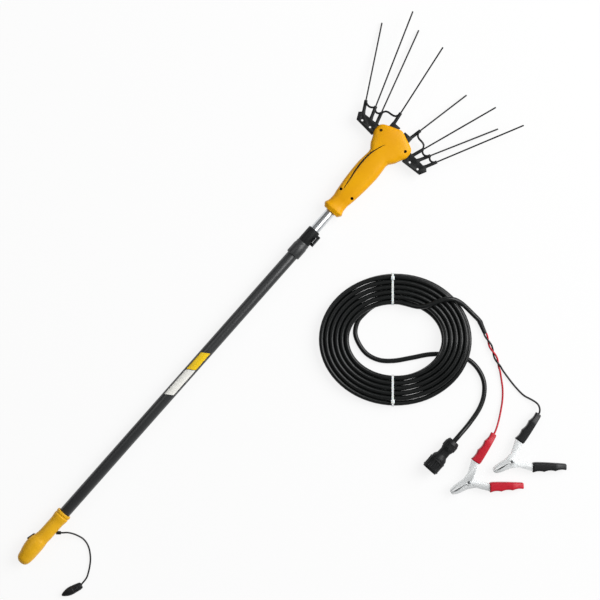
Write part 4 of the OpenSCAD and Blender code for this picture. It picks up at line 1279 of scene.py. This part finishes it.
@dataclass
class Drive:
    """Pieces inside the housings, which keep their solids."""

    finishes: tuple[tuple[str, Finish], ...] = (
        ("motor", DRIVE_STEEL), ("gearbox", DRIVE_STEEL), ("crank", SPRING_STEEL), ("left_rod", SPRING_STEEL),
        ("right_rod", SPRING_STEEL), ("left_pivot", SPRING_STEEL), ("right_pivot", SPRING_STEEL),
        ("guide_bush", BLACK_NYLON), ("switch_body", BLACK_NYLON), ("pigtail_grommet", BOOT_RUBBER))

    def build(self, frame: dict) -> None:
        """Give each solid its finish.

        Args:
            frame: The loaded frame.
        """
        for node, finish in self.finishes:
            for place in frame["nodes"][node].material_slots:
                place.material = finish.material()
            log.info("%s keeps its solid", node)


# Cable set


@dataclass
class Pigtail:
    """Short lead from the grip to its plug.

    The route runs across and along the pole and above the floor. The plug's outline is given in shares of its width,
    with millimetres along its rear and shares of its length along its tip.
    """

    diameter: float = 4.5
    grommet: float = 12.0
    per_span: int = 6
    route: Route = (
        (40.0, 138.0, 21.0), (52.0, 144.0, 15.0), (66.0, 148.0, 9.0), (80.0, 150.0, 5.0), (94.0, 148.0, 3.0),
        (108.0, 142.0, 3.0), (120.0, 133.0, 3.0), (131.0, 122.0, 3.0), (141.0, 108.0, 3.0), (149.0, 94.0, 4.0),
        (155.0, 80.0, 6.0))
    plug_back: Place = (158.0, 58.0, 8.75)
    plug_turn: float = math.radians(21.0)
    plug_width: float = 17.5
    plug_length: float = 59.0
    plug_spread: float = 2.6
    spread_start: float = 0.2
    plug_rear: Outline = ((0.0, 0.0), (0.24, 0.0), (0.36, 1.2), (0.41, 4.0), (0.42, 7.0))
    plug_tip: Outline = ((0.49, 0.44), (0.5, 0.58), (0.49, 0.66), (0.42, 0.76), (0.3, 0.88), (0.16, 0.97),
                         (0.08, 0.99), (0.0, 1.0))
    ribs: int = 5
    rib_start: float = 8.0
    rib_pitch: float = 3.4
    rib_width: float = 0.44
    rib_growth: float = 0.01
    rib_form: Outline = ((0.0, 0.0), (0.0, 1.8), (-0.6, 2.1), (-0.6, 3.1))
    rounding: float = 0.5

    def spot(self, x: float, station: float, z: float) -> Vector:
        """Place by the pole, with its height above the floor."""
        return pole_point(x, station, z - POLE_HEIGHT)

    def build(self) -> None:
        """Lay the lead and make its plug."""
        along = Vector((-math.sin(self.plug_turn), -math.cos(self.plug_turn), 0.0))
        leave = pole_point(*LEAD_EXIT)
        mouth = leave + LEAD_WAY * self.grommet * MM
        back = self.spot(*self.plug_back)
        path = [leave + LEAD_WAY * self.grommet / 2 * MM, mouth + LEAD_WAY * self.diameter * MM,
                *(self.spot(*p) for p in self.route), back + along * self.diameter * MM]
        fine = smooth_path(path, self.per_span)
        lead = cord_curve("pigtail_lead", fine, self.diameter * MM, CABLE_SHEATH)
        stand_in(lead, Body.POLE, CABLE_SHEATH, "pigtail_cord")
        plug = self.plug(back, along)
        stand_in(plug, Body.POLE, BOOT_RUBBER, "pigtail_plug")

    def plug(self, back: Vector, along: Vector) -> bpy.types.Object:
        """The tapered moulded plug with finger ribs.

        Args:
            back: Where the lead goes in.
            along: Direction towards its tip.

        Returns:
            The plug.
        """
        w, n = self.plug_width, self.plug_length
        outline = [(r * w, t) for r, t in self.plug_rear]
        for k in range(self.ribs):
            first, reach = self.rib_start + self.rib_pitch * k, (self.rib_width + self.rib_growth * k) * w
            outline += [(reach + r, first + t) for r, t in self.rib_form]
        outline += [(r * w, t * n) for r, t in self.plug_tip]

        def spread_out(angle: float, t: float) -> float:
            """Make the plug wider than it is high, most of all towards its middle."""
            share = min(1.0, self.spread_start + (1 - self.spread_start) * t / n)
            return self.plug_spread * math.cos(angle) ** 2 * math.sin(math.pi * share)

        smooth = rounded_outline(outline, self.rounding, 3)
        return lathe("pigtail_plug_boot", aimed(back, along), smooth, BOOT_RUBBER, spread_out)


@dataclass
class SupplyCable:
    """The coiled cable from the connector to the split in the battery leads.

    Routes run across and along the coil's own frame and above the floor. The nut's approach is given as millimetres
    behind the nut and below its axis, and the boot's form as what it adds to the cable's radius along its length.
    The crossing has the middle of the rise over the tail below, half its flat part and its fade, in degrees.
    """

    diameter: float = 12.7
    pitch: float = 13.2
    radius: float = 110.0
    oval: float = 13.5
    turns: float = 5.5
    rise_turns: float = 0.5
    length_turns: float = 11.1
    first_angle: float = 115.0
    rings_per_turn: int = 24
    fine: int = 3
    per_span: int = 5
    lift: float = 1.6
    crossing: tuple[float, float, float] = (-18.5, 10.0, 34.0)
    joint_run: float = 4.0
    ease: int = 40
    connector: Place = (154.5, -266.0, 22.5)
    nut_approach: Rows = ((60.0, 11.0), (24.0, 2.0), (10.0, 0.0), (-10.0, 0.0))
    connector_route: Route = (
        (-66.0, 78.0, 7.35), (-80.0, 65.0, 6.35), (-96.0, 46.0, 6.35), (-103.0, 14.0, 6.35), (-90.0, -19.0, 6.35),
        (-70.0, -42.0, 6.35), (-40.0, -56.0, 6.35), (-4.0, -58.0, 6.35), (44.0, -50.0, 6.35), (93.0, -41.0, 6.35),
        (142.0, -42.0, 6.35), (187.0, -52.0, 6.35), (215.0, -76.0, 6.35), (232.0, -110.0, 6.35),
        (233.0, -146.0, 6.35), (222.0, -180.0, 7.35))
    battery_route: Route = (
        (26.0, 92.0, 22.2), (42.0, 87.0, 26.4), (57.0, 82.0, 31.2), (73.0, 81.0, 34.6), (90.0, 88.0, 35.4),
        (110.0, 98.0, 35.6), (134.0, 107.0, 36.2), (155.0, 106.0, 35.6), (175.0, 94.0, 23.0), (196.0, 71.0, 10.0),
        (210.0, 58.0, 6.85))
    boot: Rows = ((222.0, 45.0), (236.0, 13.0))
    boot_form: Outline = ((0.1, -1.5), (0.5, 0.0), (0.6, 4.0), (0.0, 9.0), (-0.3, 16.0), (-0.6, 24.0))
    boot_tip: Outline = ((-0.9, -2.0), (-1.6, 0.0))
    boot_press: float = 1.1
    boot_sides: int = 40

    def bump(self, angle: float) -> float:
        """Share of the rise over the tail that runs under the coil.

        Args:
            angle: Degrees round the coil.

        Returns:
            1 over the tail, fading to 0 beside it.
        """
        middle, flat, fade = self.crossing
        away = abs((angle - middle + 180.0) % 360.0 - 180.0)
        if away <= flat:
            return 1.0
        return 0.0 if away >= flat + fade else 0.5 + 0.5 * math.cos(math.pi * (away - flat) / fade)

    def coil_point(self, t: float) -> Vector:
        """Place on the coil in its own frame.

        Args:
            t: Turns from the inner end of the lower layer.

        Returns:
            Millimetres across, along and up.
        """
        angle = self.first_angle - 360.0 * t
        r = self.radius + self.pitch * (t if t <= self.turns else 2 * self.turns - t)
        upper = min(1.0, max(0.0, (t - self.turns) / self.rise_turns + 0.5))
        rise = self.pitch * upper + self.diameter * self.bump(angle)
        a = math.radians(angle)
        return Vector(((r + self.oval) * math.cos(a), (r - self.oval) * math.sin(a),
                       self.lift + self.diameter / 2 + rise))

    def path(self) -> list[Vector]:
        """Middle of the whole cable, from the connector to the boot.

        Returns:
            Points in the coil's own frame, in millimetres.
        """
        rings = math.floor(self.length_turns * self.rings_per_turn)
        coil = [self.coil_point(i / (self.rings_per_turn * self.fine)) for i in range(rings * self.fine + 1)]
        aim = Vector((-math.sin(COIL_TURN), -math.cos(COIL_TURN), 0.0))
        tail = [coil[0], *(Vector(p) for p in self.connector_route),
                *(Vector(self.connector) - behind * aim - below * UP for behind, below in self.nut_approach)]
        start, end = (Vector((*p, self.diameter / 2)) for p in self.boot)
        into = start - self.joint_run * (end - start).normalized()
        lead = [coil[-1], *(Vector(p) for p in self.battery_route), into, start]
        return [*reversed(smooth_path(tail, self.per_span)), *coil[1:-1],
                *eased(smooth_path(lead, self.per_span), self.ease)]

    def build(self) -> None:
        """Lay the cable and dress its boot."""
        path = [floor_point(*p) for p in self.path()]
        cable = cord_curve("supply_cable", path, self.diameter * MM, CABLE_SHEATH)
        stand_in(cable, Body.POLE, CABLE_SHEATH, "connector_tail", "cable_coil", "battery_tail")
        boot = self.split_boot()
        stand_in(boot, Body.POLE, BOOT_RUBBER, "split_sleeve")

    def split_boot(self) -> bpy.types.Object:
        """The shrunk boot where the cable parts into two leads.

        Returns:
            The boot.
        """
        start, end = (floor_point(*p, self.diameter / 2) for p in self.boot)
        n = (end - start).length / MM
        r = self.diameter / 2
        outline = [(r / 2, self.boot_form[0][1]), *((r + d, t) for d, t in self.boot_form),
                   *((r + d, n + t) for d, t in self.boot_tip), (0.0, n)]

        def pressed(angle: float, t: float) -> float:
            """Flatten the boot towards the two leads."""
            return -self.boot_press * max(0.0, t / n) * math.sin(angle) ** 2

        return lathe("split_boot", aimed(start, end - start), rounded_outline(outline, 1.0), BOOT_RUBBER, pressed,
                     self.boot_sides)


@dataclass
class Ties:
    """Two nylon ties round the coil, each with its lock head.

    Each row of the head has its half sizes across and along the coil, and its height above the strap.
    """

    width: float = 5.5
    thick: float = 1.2
    gap: float = 0.4
    place: float = -6.0
    corner_steps: int = 8
    head_inset: float = 12.0
    head_rows: Rows = ((4.2, 4.6, -0.4), (4.6, 5.0, 0.2), (4.6, 5.0, 2.8), (3.9, 4.3, 3.6))
    sharp: float = 50.0

    def loop(self, near: float, far: float, low: float, high: float, r: float) -> Outline:
        """Rounded rectangle seen along the cable.

        Args:
            near: Inner edge, out from the coil's middle.
            far: Outer edge.
            low: Lower edge above the floor.
            high: Upper edge.
            r: Radius of the corners.

        Returns:
            Places out and up, in order round the loop.
        """
        middles = ((far - r, high - r), (near + r, high - r), (near + r, low + r), (far - r, low + r))
        points = []
        for turn, (y, z) in enumerate(middles):
            for k in range(self.corner_steps + 1):
                a = math.radians(90.0 * (turn + k / self.corner_steps))
                points.append((y + r * math.cos(a), z + r * math.sin(a)))
        return points

    def strap(self, cable: SupplyCable, side: int) -> tuple[list[Vector], Faces]:
        """Points and faces of one tie.

        Args:
            cable: The coil that it holds.
            side: 1 for the far side, -1 for the near side.

        Returns:
            The points, and the faces between them.
        """
        first = (cable.first_angle - 90.0 * side) / 360.0
        turns = [first + k for k in range(math.floor(cable.length_turns - first) + 1)]
        reach = [abs(cable.coil_point(t).y) / abs(math.sin(math.radians(cable.first_angle - 360.0 * t)))
                 for t in turns]
        corner = cable.diameter / 2 + self.gap
        near, far = min(reach) - corner, max(reach) + corner
        high = self.thick + cable.diameter + cable.pitch + 2 * self.gap
        top = high + self.thick
        inside = self.loop(near, far, self.thick, high, corner)
        outside = self.loop(near - self.thick, far + self.thick, 0.0, top, corner + self.thick)
        u = self.width / 2
        verts = [floor_point(self.place + across, side * y, z) for a, b in zip(inside, outside)
                 for across, (y, z) in ((-u, a), (u, a), (u, b), (-u, b))]
        count = len(verts)
        faces = [tuple(i % count for i in f) for f in grid_faces(len(inside) + 1, 4, True)]
        for half_u, half_v, rise in self.head_rows:
            verts += [floor_point(self.place + a * half_u, side * (far - self.head_inset + b * half_v), top + rise)
                      for a, b in ((-1, -1), (1, -1), (1, 1), (-1, 1))]
        faces += [tuple(count + i for i in f) for f in tube_faces(len(self.head_rows), 4)]
        return verts, faces

    def build(self, cable: SupplyCable) -> None:
        """Make both ties.

        Args:
            cable: The coil that they hold.
        """
        verts: list[Vector] = []
        faces: Faces = []
        for side in (1, -1):
            points, sides = self.strap(cable, side)
            faces += [tuple(len(verts) + i for i in f) for f in sides]
            verts += points
        piece = new_piece("tie_pair", verts, faces, WHITE_NYLON, self.sharp)
        stand_in(piece, Body.POLE, WHITE_NYLON, "cable_ties")


@dataclass(frozen=True)
class ClampPlan:
    """What sets a battery clamp apart: its colour, where it lies by the coil, and its lead."""

    name: str
    jaw: Body
    vinyl: Finish
    pivot: tuple[float, float]
    turn: float
    phase: float
    route: Route


class ClampColour(Enum):
    """The two battery clamps."""

    RED = ClampPlan("red", Body.RED_JAW, RED_VINYL, (193.0, -374.0), math.radians(29.5), 180.0, (
        (278.0, -103.0, 4.0), (282.0, -132.0, 3.0), (281.0, -163.0, 4.0), (276.0, -193.0, 6.0), (269.0, -222.0, 10.0)))
    BLACK = ClampPlan("black", Body.BLACK_JAW, BLACK_VINYL, (305.0, -320.0), math.radians(27.5), 0.0, (
        (296.0, -102.0, 4.0), (316.0, -127.0, 3.0), (338.0, -149.0, 4.0), (360.8, -161.1, 7.0), (376.7, -173.2, 11.0)))


@dataclass
class Clamp:
    """One battery clamp with its vinyl handles, spring and lead."""

    plan: ClampPlan
    height: float = 13.4
    jaw_edge: float = 0.25
    pin_edge: float = 0.4
    mouth: tuple[Place, Place] = ((-53.0, -3.4, -8.0), (-21.0, 3.4, 20.0))
    handle_start: tuple[float, float] = (41.0, 38.0)
    handle_angle: float = math.radians(27.0)
    handle_length: float = 88.0
    handle_inner: Profile = Profile((0.0, 7.0, 79.0, 88.0), (12.0, 13.0, 9.0, 8.0))
    handle_tall: Profile = Profile((0.0, 3.0, 58.0, 88.0), (12.4, 13.4, 13.3, 8.0))
    handle_ends: Profile = Profile((0.0, 1.2, 84.0, 86.8, 88.0), (0.93, 1.0, 1.0, 0.93, 0.72))
    handle_rings: tuple[float, ...] = (0.4, 0.8, 1.2, 85.4, 86.8, 87.5)
    handle_step: float = 1.1
    handle_edge: float = 14.4
    handle_taper: float = 5.0
    square: float = 4.6
    around: int = 40
    sharp: float = 60.0
    scallops: int = 3
    scallop_depth: float = 3.0
    scallop_round: float = 0.8
    wire: float = 2.0
    wire_sides: int = 10
    spring_radius: float = 3.8
    spring_first: float = 130.0
    spring_turn: float = 1580.0
    spring_pitch: float = 2.6
    spring_steps: int = 110
    spring_leg: float = 16.0
    leg_angle: float = math.radians(40.0)
    lead: float = 5.0
    per_span: int = 4
    twist_length: float = 98.0
    twist_turns: float = 1.5
    twist_radius: float = 3.1
    twist_points: int = 28
    joint_run: float = 4.0
    ease: int = 6
    eased_end: int = 16

    def spot(self, x: float, y: float, z: float = 0.0) -> Vector:
        """Place in the clamp's own frame, turned to the row frame.

        Args:
            x: Millimetres towards the handles.
            y: Millimetres towards the fixed handle.
            z: Millimetres up from the clamp's middle.

        Returns:
            The place in the row frame.
        """
        u, v = self.plan.pivot
        c, s = math.cos(self.plan.turn), math.sin(self.plan.turn)
        return floor_point(u + x * c - y * s, v + x * s + y * c, self.height + z)

    def handle_point(self, along: float, out: float, z: float, side: int) -> Vector:
        """Place along a handle.

        Args:
            along: Millimetres from the mouth of the sleeve.
            out: Millimetres away from the other handle.
            z: Millimetres up from the clamp's middle.
            side: 1 for the fixed handle, -1 for the moving one.

        Returns:
            The place in the row frame.
        """
        c, s = math.cos(self.handle_angle), math.sin(self.handle_angle)
        x = self.handle_start[0] + along * c - out * s
        y = self.handle_start[1] + along * s + out * c
        return self.spot(x, side * y, z)

    def handle(self, kind: str, body: Body, side: int) -> bpy.types.Object:
        """A dipped handle with finger scallops on its outer edge.

        Args:
            kind: Whether it is the fixed or the moving handle.
            body: Body that carries it.
            side: 1 for the fixed handle, -1 for the moving one.

        Returns:
            The handle.
        """
        n = self.handle_length
        stations = spread(0.0, n, self.handle_step, self.handle_rings)
        verts = []
        for x in stations:
            waves = self.scallop_depth * abs(math.sin(math.pi * self.scallops * x / n)) ** self.scallop_round
            edge = self.handle_edge - self.handle_taper * x / n - waves
            scale = self.handle_ends.at(x)
            section = Section(self.handle_inner.at(x) * scale, edge * scale, self.handle_tall.at(x) * scale,
                              self.square)
            for k in range(self.around):
                out, up = section.point(2 * math.pi * k / self.around)
                verts.append(self.handle_point(x, out, up, side))
        name, vinyl = self.plan.name, self.plan.vinyl
        faces = tube_faces(len(stations), self.around)
        piece = new_piece(f"{name}_{kind}_handle", verts, faces, vinyl, self.sharp)
        stand_in(piece, body, vinyl, f"{name}_{kind}_sleeve")
        return piece

    def spring(self, name: str) -> bpy.types.Object:
        """The wound spring on the pivot pin, with its two legs.

        Args:
            name: Name of the piece.

        Returns:
            The spring.
        """
        wound = []
        for i in range(self.spring_steps + 1):
            turn = self.spring_turn * i / self.spring_steps
            a = math.radians(self.spring_first + turn)
            wound.append(Vector((self.spring_radius * math.cos(a), self.spring_radius * math.sin(a),
                                 self.spring_pitch * (turn - self.spring_turn / 2) / 360.0)))
        first = wound[0] + self.spring_leg * Vector((math.cos(self.leg_angle), math.sin(self.leg_angle), 0.0))
        last = wound[-1] + self.spring_leg * Vector((1.0, 0.0, 0.0))
        path = [self.spot(*p) for p in [first, *wound, last]]
        return tube_piece(name, path, self.wire / 2 * MM, SPRING_STEEL, self.wire_sides)

    def open_mouth(self, jaw: bpy.types.Object) -> None:
        """Cut the long hollow behind the jaw's front teeth out of its upper flange.

        Args:
            jaw: The jaw, which is changed.
        """
        place = Matrix.Translation(self.spot(0.0, 0.0)) @ Matrix.Rotation(COIL_TURN + self.plan.turn, 4, "Z")
        cut(jaw, [tool_at("mouth", place, *self.mouth)])

    def lead_path(self, cable: SupplyCable) -> list[Vector]:
        """Middle of the lead, from the boot to the handle.

        Args:
            cable: The cable that it leaves.

        Returns:
            Points in metres.
        """
        start, end = (Vector((*p, cable.diameter / 2)) for p in cable.boot)
        aim = (end - start).normalized()
        across = aim.cross(UP).normalized()
        twist = []
        for k in range(self.twist_points):
            f = k / (self.twist_points - 1)
            a = math.radians(self.plan.phase + 360.0 * self.twist_turns * f)
            twist.append(end + (self.joint_run + f * self.twist_length) * aim
                         + self.twist_radius * (math.cos(a) * across + math.sin(a) * UP))
        first = twist[0] - self.joint_run * aim
        floor = [floor_point(*p) for p in [first, *twist, *(Vector(p) for p in self.plan.route)]]
        n = self.handle_length
        into = [self.handle_point(along, 0.0, 0.0, 1) for along in (n + self.lead, n)]
        path = smooth_path([*floor, *into], self.per_span)
        return [*path[:-self.eased_end], *eased(path[-self.eased_end:], self.ease)]

    def build(self, frame: dict, cable: SupplyCable) -> None:
        """Make the clamp and its lead.

        Args:
            frame: The loaded frame.
            cable: The cable that the lead leaves.
        """
        name, vinyl = self.plan.name, self.plan.vinyl
        arms = (("fixed", Body.POLE, 1), ("moving", self.plan.jaw, -1))
        for kind, body, _ in arms:
            self.open_mouth(fine_copy(frame, f"{name}_{kind}_jaw", body, ZINC_PLATE, self.jaw_edge))
        fine_copy(frame, name + "_clamp_pin", Body.POLE, SPRING_STEEL, self.pin_edge)
        fixed, _ = [self.handle(*arm) for arm in arms]
        stand_in(self.spring(name + "_spring"), Body.POLE, SPRING_STEEL, name + "_clamp_spring")
        path = self.lead_path(cable)
        lead = cord_curve(name + "_battery_lead", path, self.lead * MM, vinyl)
        stand_in(lead, Body.POLE, vinyl, name + "_lead")


@dataclass(frozen=True)
class Flutes:
    """Flutes round a turned piece between two heights."""

    low: float
    high: float
    count: int
    depth: float
    power: float

    def at(self, angle: float, t: float) -> float:
        """What the flutes add to the radius.

        Args:
            angle: Radians round the axis.
            t: Height along the axis.

        Returns:
            Millimetres, none or less.
        """
        if not self.low < t < self.high:
            return 0.0
        return -self.depth * max(0.0, math.cos(self.count * angle)) ** self.power


@dataclass
class Connector:
    """Screw connector on the cable: back nut, body and fluted coupling ring.

    The nut's mouth is in millimetres and its form in shares of the ring's width. The ring's edge is what it adds to
    the radius at a distance from either end.
    """

    width: float = 45.0
    nut_mouth: Outline = ((0.0, 9.0), (6.45, 9.0), (6.45, 0.3), (7.2, 0.0))
    nut_form: Outline = (
        (0.3, 0.0), (0.33, 1.2), (0.36, 3.5), (0.39, 8.0), (0.42, 10.5), (0.42, 11.0), (0.42, 12.0), (0.42, 24.0),
        (0.42, 25.0), (0.4, 26.0), (0.0, 26.0))
    nut_flutes: Flutes = Flutes(11.0, 25.0, 9, 1.1, 2.0)
    nut_sides: int = 144
    ring_ends: tuple[float, float] = (65.0, 96.0)
    ring_bore: float = 19.05
    ring_edge: Outline = ((-1.2, 0.0), (-0.3, 0.4), (0.0, 1.3), (0.0, 4.4), (-0.8, 5.0), (-0.8, 5.6))
    ring_flutes: Flutes = Flutes(70.0, 91.0, 18, 1.3, 0.7)
    ring_sides: int = 216
    body_edge: float = 0.3

    def build(self, frame: dict, cable: SupplyCable) -> None:
        """Make the nut and the ring, and dress the body.

        Args:
            frame: The loaded frame.
            cable: The cable that goes into the nut.
        """
        place = aimed(floor_point(*cable.connector), Vector((0.0, -1.0, 0.0)))
        nut = [*self.nut_mouth, *((r * self.width, t) for r, t in self.nut_form)]
        piece = lathe("connector_nut_fluted", place, nut, BLACK_NYLON, self.nut_flutes.at, self.nut_sides)
        stand_in(piece, Body.POLE, BLACK_NYLON, "connector_nut")
        r, bore, (a, b) = self.width / 2, self.ring_bore, self.ring_ends
        ring = [(bore, a), *((r + d, a + t) for d, t in self.ring_edge),
                *((r + d, b - t) for d, t in reversed(self.ring_edge)), (bore, b), (bore, a)]
        piece = lathe("coupling_ring_fluted", place, ring, BLACK_NYLON, self.ring_flutes.at, self.ring_sides)
        stand_in(piece, Body.RING, BLACK_NYLON, "coupling_ring")
        fine_copy(frame, "connector_body", Body.POLE, BLACK_NYLON, self.body_edge)


# Stage


@dataclass
class Studio:
    """Pale floor, soft light and the photograph's camera, in metres.

    Each lamp has its name, its place to the right, up and above the floor as the picture shows them, its side and its
    power in watts.
    """

    middle: tuple[float, float] = (0.0922, 0.1189)
    roll: float = math.radians(41.48)
    distance: float = 5.0
    seen_width: float = 1.56
    sensor: float = 36.0
    floor_size: float = 40.0
    floor_height: float = -0.0004
    floor_shade: str = "#F4F4F4"
    floor_roughness: float = 0.9
    floor_white: float = 0.85
    world_levels: tuple[float, float] = (0.05, 0.6)
    pale_reach: float = 0.85
    pale_rise: float = -0.5
    lamps: tuple[tuple[str, float, float, float, float, float], ...] = (
        ("key", 5.0, 1.75, 5.0, 5.5, 580.0), ("fill", -4.0, 3.0, 6.5, 5.0, 90.0))

    def floor(self) -> None:
        """The pale floor, which shows mostly white to the camera and in gloss."""
        half, z = self.floor_size / 2, self.floor_height
        mesh = bpy.data.meshes.new("floor")
        mesh.from_pydata([(-half, -half, z), (half, -half, z), (half, half, z), (-half, half, z)], [], [(0, 1, 2, 3)])
        made = bpy.data.materials.new("pale_floor")
        made.use_nodes = True
        tree = made.node_tree
        lit = tree.nodes["Principled BSDF"]
        lit.inputs["Base Color"].default_value = linear(self.floor_shade)
        lit.inputs["Roughness"].default_value = self.floor_roughness
        lit.inputs["Specular IOR Level"].default_value = 0.0
        white = add_node(tree, "ShaderNodeEmission", {"Color": WHITE, "Strength": 1.0}).outputs[0]
        rays = add_node(tree, "ShaderNodeLightPath").outputs
        seen = add_node(tree, "ShaderNodeMath", {
            0: rays["Is Camera Ray"], 1: rays["Is Glossy Ray"]}, operation="MAXIMUM").outputs[0]
        part = add_node(tree, "ShaderNodeMath", {0: seen, 1: self.floor_white}, operation="MULTIPLY").outputs[0]
        mixed = add_node(tree, "ShaderNodeMixShader", {0: part, 1: lit.outputs[0], 2: white}).outputs[0]
        tree.links.new(mixed, tree.nodes["Material Output"].inputs["Surface"])
        mesh.materials.append(made)
        placed("floor", mesh)

    def world(self) -> None:
        """Light from all round, palest low on the right of the picture, behind a white that the camera sees."""
        world = bpy.data.worlds.new("studio")
        bpy.context.scene.world = world
        world.use_nodes = True
        tree = world.node_tree
        lit = tree.nodes["Background"]
        lit.inputs["Color"].default_value = WHITE
        way = add_node(tree, "ShaderNodeTexCoord").outputs["Generated"]
        pale = (self.pale_reach * math.cos(self.roll), self.pale_reach * math.sin(self.roll), self.pale_rise)
        facing = add_node(tree, "ShaderNodeVectorMath", {0: way, 1: pale}, operation="DOT_PRODUCT").outputs["Value"]
        strength = add_node(tree, "ShaderNodeMapRange", {
            "Value": facing, "From Min": -1.0, "From Max": 1.0,
            "To Min": self.world_levels[0], "To Max": self.world_levels[1]}).outputs["Result"]
        tree.links.new(strength, lit.inputs["Strength"])
        white = add_node(tree, "ShaderNodeBackground", {"Color": WHITE, "Strength": 1.0}).outputs[0]
        seen = add_node(tree, "ShaderNodeLightPath").outputs["Is Camera Ray"]
        mixed = add_node(tree, "ShaderNodeMixShader", {0: seen, 1: lit.outputs[0], 2: white}).outputs[0]
        tree.links.new(mixed, tree.nodes["World Output"].inputs["Surface"])

    def lamp(self, name: str, right: float, up: float, height: float, size: float, power: float) -> None:
        """A soft square lamp aimed at the middle.

        Args:
            name: Name of the lamp.
            right: Metres to the right in the picture.
            up: Metres up in the picture.
            height: Metres above the floor.
            size: Side of the lamp in metres.
            power: Power in watts.
        """
        data = bpy.data.lights.new(name, "AREA")
        data.shape = "SQUARE"
        data.size = size
        data.energy = power
        c, s = math.cos(self.roll), math.sin(self.roll)
        middle = Vector((*self.middle, 0.0))
        made = placed(name, data)
        made.location = middle + Vector((right * c - up * s, right * s + up * c, height))
        made.rotation_mode = "QUATERNION"
        made.rotation_quaternion = (middle - made.location).to_track_quat("-Z", "Y")

    def build(self) -> None:
        """Set up the stage, the lamps and the camera."""
        bpy.context.scene.view_settings.view_transform = "Standard"
        self.floor()
        self.world()
        for lamp in self.lamps:
            self.lamp(*lamp)
        data = bpy.data.cameras.new("photo_camera")
        data.sensor_width = self.sensor
        data.lens = self.sensor * (self.distance - POLE_HEIGHT * MM) / self.seen_width
        camera = placed("photo_camera", data)
        camera.location = (*self.middle, self.distance)
        camera.rotation_euler = (0.0, 0.0, self.roll)
        bpy.context.scene.camera = camera


def main() -> None:
    """Build the harvester, the stage and the camera."""
    logging.basicConfig(level=logging.INFO, format="%(message)s")
    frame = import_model()
    Studio().build()
    Pigtail().build()
    cable = SupplyCable()
    cable.build()
    Ties().build(cable)
    Connector().build(frame, cable)
    for colour in ClampColour:
        Clamp(colour.value).build(frame, cable)
    Grip().build(frame)
    Head().build()
    Pole().build(frame)
    Combs().build(frame)
    Drive().build(frame)


if __name__ == "__main__":
    main()
